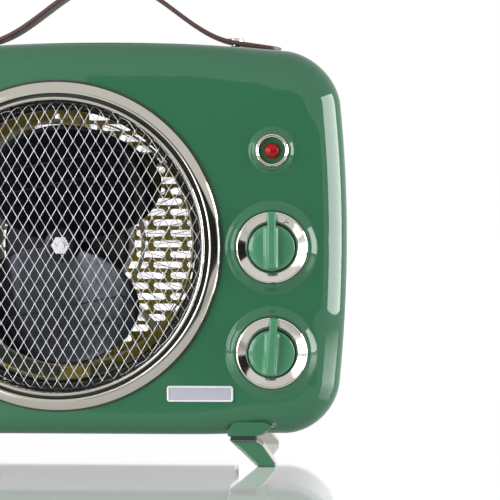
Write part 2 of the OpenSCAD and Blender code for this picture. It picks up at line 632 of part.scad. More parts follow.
// Controls
module dial() turn([[dial_inner, dial_seat], [dial_r, dial_seat], [dial_r, 4.2], [dial_r - 0.5, 4.9],
  [dial_r - 1.3, 5], [dial_inner + 0.7, 3.6], [dial_inner, 3]]);
module selector_dial() color([0.85, 0.85, 0.84]) place() at(column_u, high_v) dial();
module thermostat_dial() color([0.85, 0.85, 0.84]) place() at(column_u, low_v) dial();
grip_low = 5.7;
spindle_tip = 5;
module knob() difference() {
  union() {
    turn(concat([[0, 0.9], [knob_r, 0.9]], arc([knob_r - 1.2, 7], 1.2, 0, 80, 4), [[0, 9]]));
    rod(6, -6, 2);
    intersection() {
      translate([0, dial_r - 0.4, 0]) rotate([90, 0, 0]) linear_extrude(dial_r + knob_r - 0.7) polygon([
        [-2.7, grip_low], [2.7, grip_low], [2.5, 12], [2.1, knob_rise - 1], [1.5, knob_rise],
        [-1.5, knob_rise], [-2.1, knob_rise - 1], [-2.5, 12]]);
      rotate([90, 0, 90]) translate([0, 0, -10]) linear_extrude(20) polygon([
        [-knob_r + 0.2, grip_low], [dial_r - 0.5, grip_low], [dial_r - 0.5, knob_rise - 5],
        [dial_r - 2, knob_rise - 1.6], [dial_r - 5, knob_rise - 0.1], [dial_r - 5.5, knob_rise + 1],
        [-knob_r + 5, knob_rise + 1], [-knob_r + 4.5, knob_rise - 0.1], [-knob_r + 1.6, knob_rise - 2],
        [-knob_r + 0.2, knob_rise - 6]]);
    }
    intersection() {
      rod(knob_r - 0.4, 5, 15);
      rotate([90, 0, 0]) translate([0, 0, -20]) linear_extrude(40) polygon([
        [-5.4, 7.5], [5.4, 7.5], [5.4, 8.6], [3.8, 9.6], [2.8, 12], [-2.8, 12], [-3.8, 9.6], [-5.4, 8.6]]);
    }
  }
  rod(spindle_r + tight, -7, spindle_tip);
}
module selector_knob() color([0.25, 0.55, 0.38]) place() at(column_u, high_v) knob();
module thermostat_knob() color([0.25, 0.55, 0.38]) place() at(column_u, low_v) rotate(-low_turn) knob();
module spindle() rod(spindle_r, -control_depth - 18, spindle_tip);
module selector_spindle() color("silver") place() at(column_u, high_v) spindle();
module thermostat_spindle() color("silver") place() at(column_u, low_v) spindle();
control_t = 1.2;
neck_r = 4.5;
control_back = control_depth + control_t;
module neck() rod(neck_r, -control_back - 1, -7);
module spindle_bore() rod(spindle_r + run_gap, -control_depth - 18 - 0.5, 1);
module selector_switch() color([0.15, 0.15, 0.16]) place() at(column_u, high_v) difference() {
  union() {
    translate([-15, -15, -control_back - 22]) cube([30, 30, 22]);
    neck();
    for (s = [-9, 0, 9]) translate([-11, s - 2.4, -control_back - 30]) cube([0.8, 4.8, 9]);
    for (s = [-9, 0, 9]) translate([10, s - 2.4, -control_back - 30]) cube([0.8, 4.8, 9]);
  }
  spindle_bore();
}
module thermostat_body() color([0.8, 0.78, 0.7]) place() at(column_u, low_v) difference() {
  union() {
    translate([-13, -17, -control_back - 16]) cube([26, 34, 16]);
    neck();
    for (s = [-12, 12]) translate([-2.4, s, -control_back - 24]) cube([4.8, 0.8, 9]);
  }
  spindle_bore();
}
module control_plate() color([0.6, 0.6, 0.62]) place() difference() {
  translate([column_u - 11, post_low - 8, -control_back])
    cube([22, post_high - post_low + 16, control_t]);
  for (v = [high_v, low_v]) at(column_u, v) rod(neck_r + clear / 4, -control_back - 1, -control_depth + 1);
  for (v = [post_low, post_mid, post_high]) at(column_u, v) rod(screw_r + clear / 4, -control_back - 1, -control_depth + 1);
}
module control_nuts() color("silver") place() for (v = [high_v, low_v]) at(column_u, v) difference() {
  hexagon(7.5, -control_depth, -control_depth + 2.5);
  rod(neck_r + tight, -control_depth - 1, -control_depth + 4);
}
module control_screws() color("silver") place() for (v = [post_low, post_mid, post_high]) at(column_u, v) {
  rod(screw_r, -control_back - 0.5, -6);
  rod(2.8, -control_back - 2, -control_back);
}

// Pilot light
module lamp_ring() color([0.85, 0.85, 0.84]) place() at(column_u, lamp_v)
  turn([[lamp_hole - 0.75, -0.5], [lamp_hole - 0.1, -0.5], [lamp_hole - 0.1, lamp_shoulder],
    [lamp_r, lamp_shoulder], [lamp_r, lamp_shoulder + 0.7], [lamp_r - 0.6, lamp_shoulder + 1.5],
    [lamp_r - 1.4, lamp_shoulder + 1.9], [lamp_r - 2.2, lamp_shoulder + 1.5], [lamp_hole - 0.75, lamp_shoulder + 0.6]]);
module lamp_lens() color([0.7, 0.03, 0.03]) place() at(column_u, lamp_v)
  turn(concat([[0, -4], [lens_r + 1.3, -4], [lens_r + 1.3, -wall], [lens_r, -wall], [lens_r, 0.6]],
    [for (i = [1:6]) [lens_r * cos(15 * i), 0.6 + 2.8 * sin(15 * i)]]));
module lamp_holder() color([0.12, 0.12, 0.12]) place() at(column_u, lamp_v) {
  rod(lens_r + 1.3, -20, -4);
  for (s = [-1, 1]) translate([s * 3 - 0.4, -2.4, -28]) cube([0.8, 4.8, 8.5]);
}

// Badge: a bare plate with a raised rim
module badge_form(inset, t) linear_extrude(t) {
  square([badge_l - 2 * inset, badge_h - 2 * inset - 4], center = true);
  square([badge_l - 2 * inset - 4, badge_h - 2 * inset], center = true);
  for (s = signs) translate([s.x * (badge_l / 2 - inset - 2), s.y * (badge_h / 2 - inset - 2)]) circle(2);
}
module badge_plate() color([0.8, 0.8, 0.86]) place() at(badge_u, badge_v) difference() {
  badge_form(0, 1.8);
  translate([0, 0, 1.3]) badge_form(1.1, 1);
}

// Handle: a leather strap arched between two studs
strap_v = top_v + 5.6;
strap_slope = 0.15;
function strap_line(x) = strap_v + strap_slope * (stud_x - abs(x)) * (abs(x) < stud_x ? pow(x / stud_x, 2) : 1)
  + (abs(x) < stud_x ? strap_arch / 2 * (1 + cos(180 * x / stud_x)) : 0);
strap_n = 28;
function strap_edge(s) = [for (i = [-strap_n:strap_n])
  let (x = strap_x * i / strap_n, d = strap_line(x + 0.1) - strap_line(x - 0.1), n = [-d, 0.2] / norm([-d, 0.2]))
  [x, strap_line(x)] + s * strap_t / 2 * n];
function backwards(l) = [for (i = [len(l) - 1:-1:0]) l[i]];
stud_under = strap_v + strap_t / 2 - 0.5;
module handle_strap() color([0.29, 0.19, 0.17]) place() difference() {
  intersection() {
    translate([0, 0, -strap_depth - strap_w / 2])
      linear_extrude(strap_w) polygon(concat(strap_edge(1), backwards(strap_edge(-1))));
    translate([0, strap_v - 60, -strap_depth]) rotate([-90, 0, 0]) linear_extrude(140) {
      square([2 * strap_x - strap_w * 0.8, strap_w], center = true);
      for (s = [-1, 1]) translate([s * (strap_x - strap_w * 0.6), 0])
        intersection() {
          circle(strap_w * 0.6);
          square([2 * strap_w, strap_w], center = true);
        }
    }
  }
  stud_places() rod(stud_hole + clear / 4, strap_v - 20, strap_v + 20);
  stud_places() rod(stud_r + clear / 4, stud_under, strap_v + 20);
}
module strap_studs() color([0.85, 0.85, 0.84]) place() stud_places() {
  turn(concat([[0, stud_under], [stud_r, stud_under]], arc([stud_r - 0.8, stud_under + 1.7], 0.8, 0, 80, 3), [[0, stud_under + 2.7]]));
  rod(stud_hole, top_v - wall - 8, stud_under + 1);
}
strap_seat = 0.25;
module strap_spacers() color([0.12, 0.1, 0.1]) place() stud_places() difference() {
  rod(3.2, top_v + strap_seat, strap_v - strap_t / 2 - 2 * strap_seat);
  rod(stud_hole + clear / 4, top_v - 1, strap_v);
}
nut_seat = 0.85;
module strap_nuts() color("silver") place() stud_places() difference() {
  hexagon(4.6, top_v - wall - nut_seat, top_v - wall - nut_seat - 3);
  rod(stud_hole + tight, top_v - wall - 5, top_v);
}

// Feet: a splayed block that leans forward at the front and back at the rear
foot_lean = 8;
foot_deep = 18;
sole_deep = 11;
sole_end = foot_in + foot_splay + sole_w;
function foot_front(inset) = [[foot_in + inset, foot_top - inset / 4], [foot_in + inset, foot_top - 3],
  [foot_in + foot_splay + inset * 1.3, inset * 0.6], [sole_end - inset, inset * 0.6],
  [sole_end - inset, 2.2], [foot_in + foot_w + 4.5 - inset, foot_top - 3],
  [foot_in + foot_w - inset, foot_top - inset / 4]];
// The heel is upright, and stands in from the slanted front
heel_in = 6.7;
heel_v = foot_top * (1 - heel_in / foot_splay);
foot_sides = [[foot_in, foot_top], [foot_in + heel_in, heel_v], [foot_in + heel_in, 0],
  [sole_end, 0], [sole_end, 2.2], [foot_in + foot_w + 4.5, foot_top - 3], [foot_in + foot_w, foot_top]];
flank = foot_lean / foot_splay;
foot_plan = [[foot_in + foot_splay, 0], [sole_end + 1, 0], [sole_end + 1, -foot_deep * 2],
  [foot_in - 1, -foot_deep * 2], [foot_in - 1, -foot_lean - flank]];
module foot_cut(profile) translate([foot_in - 5, 0, 0]) rotate([90, 0, 90]) linear_extrude(foot_w + foot_splay + 30)
  polygon([for (p = profile) [p.y, p.x]]);
module foot_solid() difference() {
  intersection() {
    translate([0, 0, -60]) linear_extrude(120) polygon(foot_sides);
    translate([0, -1, 0]) rotate([-90, 0, 0]) linear_extrude(foot_top + 2) polygon([for (p = foot_plan) [p.x, -p.y]]);
    foot_cut([[-foot_lean, foot_top], [-foot_lean - foot_deep, foot_top], [-sole_deep, 0], [0, 0]]);
  }
  upright(foot_screw_u, -foot_screw_w, foot_screw_r + tight, 10, foot_top + 1);
}
module rearwards() translate([0, 0, -track]) mirror([0, 0, 1]) children();
module front_right_foot() color([0.8, 0.8, 0.8]) place() foot_solid();
module front_left_foot() color([0.8, 0.8, 0.8]) place() mirror([1, 0, 0]) foot_solid();
module rear_right_foot() color([0.8, 0.8, 0.8]) place() rearwards() foot_solid();
module rear_left_foot() color([0.8, 0.8, 0.8]) place() rearwards() mirror([1, 0, 0]) foot_solid();
module foot_facings() color([0.2, 0.45, 0.31]) place() for (s = [0, 1]) mirror([s, 0, 0]) intersection() {
  translate([0, 0, -60]) linear_extrude(120) polygon(foot_front(0.8));
  foot_cut([[-foot_lean + 1.3, foot_top], [-foot_lean, foot_top], [0, 0], [1.3, 0]]);
}
module foot_pad() difference() {
  translate([foot_in + 0.8, foot_top, -foot_lean - foot_deep + 1]) cube([foot_w - 1.6, pad_t, foot_deep - 2]);
  upright(foot_screw_u, -foot_screw_w, foot_screw_r + clear / 2, foot_top - 1, ground_gap + 1);
}
module foot_pads() color([0.05, 0.05, 0.05]) place() for (s = [0, 1]) mirror([s, 0, 0]) {
  foot_pad();
  rearwards() foot_pad();
}
module foot_screws() color("silver") place() for (s = [-1, 1], w = [-foot_screw_w, -rear_screw_w]) {
  upright(s * foot_screw_u, w, foot_screw_r, 10.5, screw_floor + 0.5);
  upright(s * foot_screw_u, w, 3.6, screw_floor, screw_floor + 2.4);
}

// Supply: the inlet for a cord, and the block inside that its wires end in
module cord_gland() color([0.06, 0.06, 0.06]) place() at(gland_u, gland_v) difference() {
  turn([[0, -body_d - gland_proud], [gland_r + 0.5, -body_d - gland_proud], [gland_r + 2, -body_d],
    [gland_r, -body_d], [gland_r, plate_w], [gland_r + 2, plate_w], [gland_r + 2, plate_w + 4], [0, plate_w + 4]]);
  rod(3.6, -body_d - gland_proud - 1, plate_w + 5);
}
module terminal_block() color([0.85, 0.85, 0.82]) place() at(gland_u - 34, gland_v, plate_w) difference() {
  translate([-15, -6, 0]) cube([30, 12, 12]);
  for (s = [-10, 0, 10]) translate([s, 0, 6]) rod(2.2, 0, 7);
}

front_shell();
rear_shell();
intake_plate();
plate_rivets();
shell_screws();
bezel_ring();
bezel_gasket();
grille_mesh();
grille_collar();
bezel_screws();
duct_ring();
duct_rivets();
fan_impeller();
fan_nut();
motor_shaft();
motor_rotor();
motor_stator();
motor_coil();
motor_front_frame();
motor_rear_frame();
front_bush();
rear_bush();
motor_screws();
motor_nuts();
motor_cover();
motor_bracket();
bracket_screws();
element_frame();
heating_wire_1();
heating_wire_2();
element_terminals();
thermal_cutout();
selector_dial();
selector_knob();
selector_spindle();
selector_switch();
thermostat_dial();
thermostat_knob();
thermostat_spindle();
thermostat_body();
control_plate();
control_nuts();
control_screws();
lamp_ring();
lamp_lens();
lamp_holder();
badge_plate();
handle_strap();
strap_studs();
strap_spacers();
strap_nuts();
front_left_foot();
front_right_foot();
rear_left_foot();
rear_right_foot();
foot_facings();
foot_pads();
foot_screws();
cord_gland();
terminal_block();
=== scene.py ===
# Retro fan heater: the looks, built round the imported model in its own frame.
import json
import math

import bmesh
import bpy
import numpy as np
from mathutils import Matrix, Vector
from mathutils.geometry import delaunay_2d_cdt


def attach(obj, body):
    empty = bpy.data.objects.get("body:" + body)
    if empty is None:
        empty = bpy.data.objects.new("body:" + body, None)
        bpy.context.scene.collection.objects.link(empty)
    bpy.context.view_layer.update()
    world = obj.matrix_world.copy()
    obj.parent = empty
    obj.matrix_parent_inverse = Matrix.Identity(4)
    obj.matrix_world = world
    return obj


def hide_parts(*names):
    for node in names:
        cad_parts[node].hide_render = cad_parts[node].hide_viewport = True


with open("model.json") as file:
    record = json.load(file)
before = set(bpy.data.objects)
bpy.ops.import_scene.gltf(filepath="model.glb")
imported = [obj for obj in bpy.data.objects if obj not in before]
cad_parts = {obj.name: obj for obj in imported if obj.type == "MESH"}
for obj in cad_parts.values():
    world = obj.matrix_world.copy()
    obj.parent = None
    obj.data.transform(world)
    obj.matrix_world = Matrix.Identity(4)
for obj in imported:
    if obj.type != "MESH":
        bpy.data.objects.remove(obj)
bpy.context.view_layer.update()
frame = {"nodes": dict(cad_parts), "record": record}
nodes = frame["nodes"]

# Places in mm: u runs right, v up and w out of the front face, as in the source
bodyForm = {"faceY": -67.5, "halfW": 170, "halfH": 136.5, "midV": 156.5, "cornerR": 36.5, "sideBow": 9, "topBow": 9,
            "frontRound": 17.5, "wideRound": 26, "widenFrom": 60, "widenOver": 65, "rearRound": 23, "depth": 145,
            "wall": 2.5}
outlet = (-30.0, 152.0)
intake = (-30.0, 156.0)
selector = (118.0, 151.6)
thermostat = (118.0, 79.2)
lamp = (118.0, 217.9)
badge = (68.6, 50.6)


# Meshes
def toWorld(points):
    # x = u, y = faceY - w and z = v, in metres
    p = np.asarray(points, float)
    return np.column_stack([p[:, 0], bodyForm["faceY"] - p[:, 2], p[:, 1]]) / 1000


def gridFaces(rows, cols, wrapRows=False, wrapCols=True):
    # the quads (i, j), (i, j + 1), (i + 1, j + 1), (i + 1, j) of a grid of points
    i, j = np.meshgrid(np.arange(rows if wrapRows else rows - 1),
                       np.arange(cols if wrapCols else cols - 1), indexing="ij")
    i2, j2 = (i + 1) % rows, (j + 1) % cols
    return np.stack([i * cols + j, i * cols + j2, i2 * cols + j2, i2 * cols + j], -1).reshape(-1, 4)


def cappedFaces(rows, cols):
    # the grid's quads, and one face over its first row and one over its last
    last = (rows - 1) * cols
    return gridFaces(rows, cols).tolist() + [list(range(cols))[::-1], list(range(last, last + cols))]


def makePiece(name, parts, material, body="housing", sharp=35, weld=True, replaces=()):
    # parts are (points, faces) in mm; edges sharper than sharp degrees stay crisp
    points, faces, base = [], [], 0
    for p, f in parts:
        points.append(np.asarray(p, float))
        faces += (f + base).tolist() if isinstance(f, np.ndarray) else [[i + base for i in face] for face in f]
        base += len(p)
    mesh = bpy.data.meshes.new(name)
    mesh.from_pydata(toWorld(np.vstack(points)).tolist(), [], faces)
    bm = bmesh.new()
    bm.from_mesh(mesh)
    if weld:
        bmesh.ops.remove_doubles(bm, verts=bm.verts, dist=3e-6)
        bmesh.ops.dissolve_degenerate(bm, edges=bm.edges, dist=1e-7)
    bmesh.ops.recalc_face_normals(bm, faces=bm.faces)
    bm.to_mesh(mesh)
    bm.free()
    mesh.shade_smooth()
    mesh.set_sharp_from_angle(angle=math.radians(sharp))
    mesh.materials.append(material)
    piece = bpy.data.objects.new(name, mesh)
    bpy.context.scene.collection.objects.link(piece)
    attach(piece, body)
    if replaces:
        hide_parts(*replaces)
    return piece


def steadyNormals(piece):
    # large flat faces keep their own normal where they meet a rounding
    mod = piece.modifiers.new("faceNormals", "WEIGHTED_NORMAL")
    mod.keep_sharp = True
    mod.weight = 90


def softenEdges(piece, width, segments, angle):
    # edges that turn by more than the angle get a rounding of that width in mm
    mod = piece.modifiers.new("softEdges", "BEVEL")
    mod.width, mod.segments, mod.limit_method, mod.angle_limit = width / 1000, segments, "ANGLE", math.radians(angle)
    mod.harden_normals = True


def softStep(t):
    # 3 t^2 - 2 t^3 between 0 and 1
    t = np.clip(t, 0, 1)
    return t ** 2 * (3 - 2 * t)


def softCorners(profile, radius, steps=5):
    # each corner c of a closed profile becomes (1 - t)^2 start + 2 t (1 - t) c + t^2 end
    p = np.asarray(profile, float)
    out = []
    for i, c in enumerate(p):
        a, b = p[i - 1] - c, p[(i + 1) % len(p)] - c
        la, lb = np.hypot(*a), np.hypot(*b)
        cut = min(radius, la * 0.48, lb * 0.48)
        start, end = c + a / la * cut, c + b / lb * cut
        t = np.linspace(0, 1, steps + 1)[:, None]
        out.append((1 - t) ** 2 * start + 2 * t * (1 - t) * c + t ** 2 * end)
    return np.vstack(out)


def arcPoints(centre, radius, a0, a1, n):
    # centre + radius (cos a, sin a) from a0 to a1 degrees in n steps
    a = np.radians(np.linspace(a0, a1, n + 1))
    return np.column_stack([centre[0] + radius * np.cos(a), centre[1] + radius * np.sin(a)])


def denser(path, step, least=1, closed=False):
    # points added along each straight run, so that they stand about a step apart
    ends = np.roll(path, -1, 0) if closed else path[1:]
    runs = []
    for p, q in zip(path, ends):
        n = max(least, int(np.hypot(*(q - p)) / step))
        runs.append(p + (q - p) * np.arange(n)[:, None] / n)
    return np.vstack(runs if closed else runs + [path[-1:]])


def atHeight(flat, w):
    # points (u, v) become (u, v, w)
    return np.column_stack([flat, np.broadcast_to(w, len(flat))])


def ringStack(rings, **wrap):
    # closed rings of equal count, joined one to the next
    return np.vstack(rings), gridFaces(len(rings), len(rings[0]), **wrap)


def revolve(profile, centre, segments=128, closed=True):
    # a profile (r, w) turned about the axis through centre: (u + r cos a, v + r sin a, w)
    r, w = np.asarray(profile, float).T
    a = np.linspace(0, 2 * np.pi, segments, endpoint=False)
    u = centre[0] + np.outer(r, np.cos(a))
    v = centre[1] + np.outer(r, np.sin(a))
    points = np.column_stack([u.ravel(), v.ravel(), np.repeat(w, segments)])
    return points, gridFaces(len(r), segments, wrapRows=closed)


def tube(path, radius, normals=None, sides=8, closed=False):
    # p + radius (b cos a + n sin a), square to the path; the radius may change from point to point
    p = np.asarray(path, float)
    t = np.roll(p, -1, 0) - np.roll(p, 1, 0) if closed else np.gradient(p, axis=0)
    t /= np.linalg.norm(t, axis=1)[:, None]
    n = np.tile([0.0, 0.0, 1.0], (len(p), 1)) if normals is None else normals
    b = np.cross(n, t)
    b /= np.maximum(np.linalg.norm(b, axis=1), 1e-9)[:, None]
    n = np.cross(t, b)
    a = np.linspace(0, 2 * np.pi, sides, endpoint=False)
    ring = b[:, None] * np.cos(a)[None, :, None] + n[:, None] * np.sin(a)[None, :, None]
    points = (p[:, None] + ring * np.broadcast_to(radius, len(p))[:, None, None]).reshape(-1, 3)
    return points, gridFaces(len(p), sides, wrapRows=True) if closed else cappedFaces(len(p), sides)


def outline(inset, cornerSteps=22, sideSteps=26):
    # the front view's outline: p = (x(1 - bow(y/h)^2), y - arch(x/w)^2 y/h above the middle)
    f = bodyForm
    r = max(f["cornerR"] - inset, 4)
    a, b = f["halfW"] - inset - r, f["halfH"] - inset - r
    corners = np.array([(a, b), (-a, b), (-a, -b), (a, -b)])
    rows = []
    for q in range(4):
        turn = np.radians(90 * (q + np.arange(cornerSteps + 1) / cornerSteps))
        rows.append(corners[q] + r * np.column_stack([np.cos(turn), np.sin(turn)]))
        end = rows[-1][-1]
        t = (np.arange(1, sideSteps) / sideSteps)[:, None]
        rows.append(end + (corners[(q + 1) % 4] - corners[q]) * t)
    x, y = np.vstack(rows).T
    up = np.where(y > 0, f["topBow"] * y / f["halfH"] * (x / f["halfW"]) ** 2, 0)
    return np.column_stack([x * (1 - f["sideBow"] / f["halfW"] * (y / f["halfH"]) ** 2), y - up + f["midV"]])


def loft(sections):
    # rings of the outline, each (inset, w)
    return ringStack([atHeight(outline(inset), w) for inset, w in sections])


def flatTriangles(loops, holes, segments):
    # triangles of the plane between closed loops, less the round holes (u, v, r)
    a = np.linspace(0, 2 * np.pi, segments, endpoint=False)
    loops = loops + [np.column_stack([u + r * np.cos(a), v + r * np.sin(a)]) for u, v, r in holes]
    verts, edges = [], []
    for loop in loops:
        n, k = len(verts), len(loop)
        verts += [Vector(p) for p in loop]
        edges += [(n + i, n + (i + 1) % k) for i in range(k)]
    made, _, tris, _, _, _ = delaunay_2d_cdt(verts, edges, [], 0, 1e-6)
    p = np.array([v[:] for v in made])
    tris = np.array(tris)
    mid = p[tris].mean(1)
    keep = np.ones(len(tris), bool)
    for u, v, r in holes:
        keep &= np.hypot(mid[:, 0] - u, mid[:, 1] - v) > r * np.cos(np.pi / segments)
    return p, tris[keep]


def holedFace(edge, holes, w, segments):
    # a flat face at w inside the edge, with its holes
    p, tris = flatTriangles([edge], holes, segments)
    return atHeight(p, w), tris


def faceHeight(p, wall=0.0):
    # w = -F + sqrt((F - wall)^2 - (F - d)^2) within F of the edge, d from the outline; F widens to the right
    edge = outline(0)
    ends = np.roll(edge, -1, 0) - edge
    t = np.clip(((p[:, None] - edge) * ends).sum(2) / (ends ** 2).sum(1), 0, 1)
    d = np.hypot(*np.moveaxis(p[:, None] - edge - t[..., None] * ends, 2, 0)).min(1)
    share = softStep((p[:, 0] - bodyForm["widenFrom"]) / bodyForm["widenOver"])
    big = bodyForm["frontRound"] + (bodyForm["wideRound"] - bodyForm["frontRound"]) * share
    left = np.clip(big - d, 0, big - wall)
    return np.sqrt((big - wall) ** 2 - left ** 2) - big


def liftedFace(insets, holes, wall, segments):
    # the front's flat part between rings of the outline, at w = faceHeight
    p, tris = flatTriangles([outline(i) for i in insets], holes, segments)
    return atHeight(p, faceHeight(p, wall)), tris


def liftedLoft(insets, wall):
    # rings of the outline at w = faceHeight, down the front's rounding
    return ringStack([atHeight(ring, faceHeight(ring, wall)) for ring in map(outline, insets)])


# Materials
mixA, mixB, mixOut = 6, 7, 2  # the colour sockets of a Mix node


def addNode(tree, kind, inputs=None, **settings):
    # an input is a value, or the socket that it is linked from
    n = tree.nodes.new(kind)
    for k, v in settings.items():
        setattr(n, k, v)
    for k, v in (inputs or {}).items():
        if isinstance(v, bpy.types.NodeSocket):
            tree.links.new(v, n.inputs[k])
        else:
            n.inputs[k].default_value = v
    return n


def makeGroup(name, inputs, outputs):
    # a shader node group, its inputs (name, kind, value) and its outputs (name, kind)
    tree = bpy.data.node_groups.new(name, "ShaderNodeTree")
    for label, kind, value in inputs:
        socket = tree.interface.new_socket(label, in_out="INPUT", socket_type=kind)
        if value is not None:
            socket.default_value = value
    for label, kind in outputs:
        tree.interface.new_socket(label, in_out="OUTPUT", socket_type=kind)
    return tree, addNode(tree, "NodeGroupInput"), addNode(tree, "NodeGroupOutput")


# Slow changes of tone, fine grain, and scattered specks of dust, each as a mask from 0 to 1
surfaceGroup, gIn, gOut = makeGroup("surfaceMarks", [
    ("Patch", "NodeSocketFloat", 18.0), ("Grain", "NodeSocketFloat", 900.0), ("Specks", "NodeSocketFloat", 260.0)],
    [("Patches", "NodeSocketFloat"), ("Grain", "NodeSocketFloat"), ("Specks", "NodeSocketFloat")])
gPlace = addNode(surfaceGroup, "ShaderNodeTexCoord")
gPatch = addNode(surfaceGroup, "ShaderNodeTexNoise",
                 {"Vector": gPlace.outputs["Object"], "Scale": gIn.outputs["Patch"], "Detail": 3.0,
                  "Roughness": 0.55})
gGrain = addNode(surfaceGroup, "ShaderNodeTexNoise",
                 {"Vector": gPlace.outputs["Object"], "Scale": gIn.outputs["Grain"], "Detail": 2.0})
gCell = addNode(surfaceGroup, "ShaderNodeTexVoronoi",
                {"Vector": gPlace.outputs["Object"], "Scale": gIn.outputs["Specks"]})
gSpeck = addNode(surfaceGroup, "ShaderNodeMapRange",
                 {"Value": gCell.outputs["Distance"], "From Min": 0.03, "From Max": 0.09, "To Min": 1.0,
                  "To Max": 0.0})
surfaceGroup.links.new(gPatch.outputs["Fac"], gOut.inputs["Patches"])
surfaceGroup.links.new(gGrain.outputs["Fac"], gOut.inputs["Grain"])
surfaceGroup.links.new(gSpeck.outputs["Result"], gOut.inputs["Specks"])


def makeMaterial(name, low, high, rough=(0.3, 0.4), metal=0.0, patch=18.0, grain=900.0, bump=0.1, bumpDepth=0.0001,
                 specks=0.0, speckColor=(0.6, 0.6, 0.58), sockets=None):
    # low and high are the two tones between which the surface drifts, and rough is its least and most roughness
    mat = bpy.data.materials.new(name)
    mat.use_nodes = True
    tree = mat.node_tree
    shader = tree.nodes["Principled BSDF"]
    marks = addNode(tree, "ShaderNodeGroup", node_tree=surfaceGroup)
    marks.inputs["Patch"].default_value = patch
    marks.inputs["Grain"].default_value = grain
    tone = addNode(tree, "ShaderNodeMix", data_type="RGBA")
    tree.links.new(marks.outputs["Patches"], tone.inputs["Factor"])
    tone.inputs[mixA].default_value = (*low, 1)
    tone.inputs[mixB].default_value = (*high, 1)
    color = tone.outputs[mixOut]
    if specks:
        dust = addNode(tree, "ShaderNodeMath", operation="MULTIPLY")
        tree.links.new(marks.outputs["Specks"], dust.inputs[0])
        dust.inputs[1].default_value = specks
        over = addNode(tree, "ShaderNodeMix", data_type="RGBA")
        tree.links.new(dust.outputs[0], over.inputs["Factor"])
        tree.links.new(color, over.inputs[mixA])
        over.inputs[mixB].default_value = (*speckColor, 1)
        color = over.outputs[mixOut]
    tree.links.new(color, shader.inputs["Base Color"])
    gloss = addNode(tree, "ShaderNodeMapRange", {"Value": marks.outputs["Patches"], "From Min": 0.3, "From Max": 0.7,
                                                 "To Min": rough[0], "To Max": rough[1]})
    tree.links.new(gloss.outputs["Result"], shader.inputs["Roughness"])
    relief = addNode(tree, "ShaderNodeBump", {"Height": marks.outputs["Grain"], "Strength": bump,
                                              "Distance": bumpDepth})
    tree.links.new(relief.outputs["Normal"], shader.inputs["Normal"])
    shader.inputs["Metallic"].default_value = metal
    for k, v in (sockets or {}).items():
        shader.inputs[k].default_value = v
    return mat


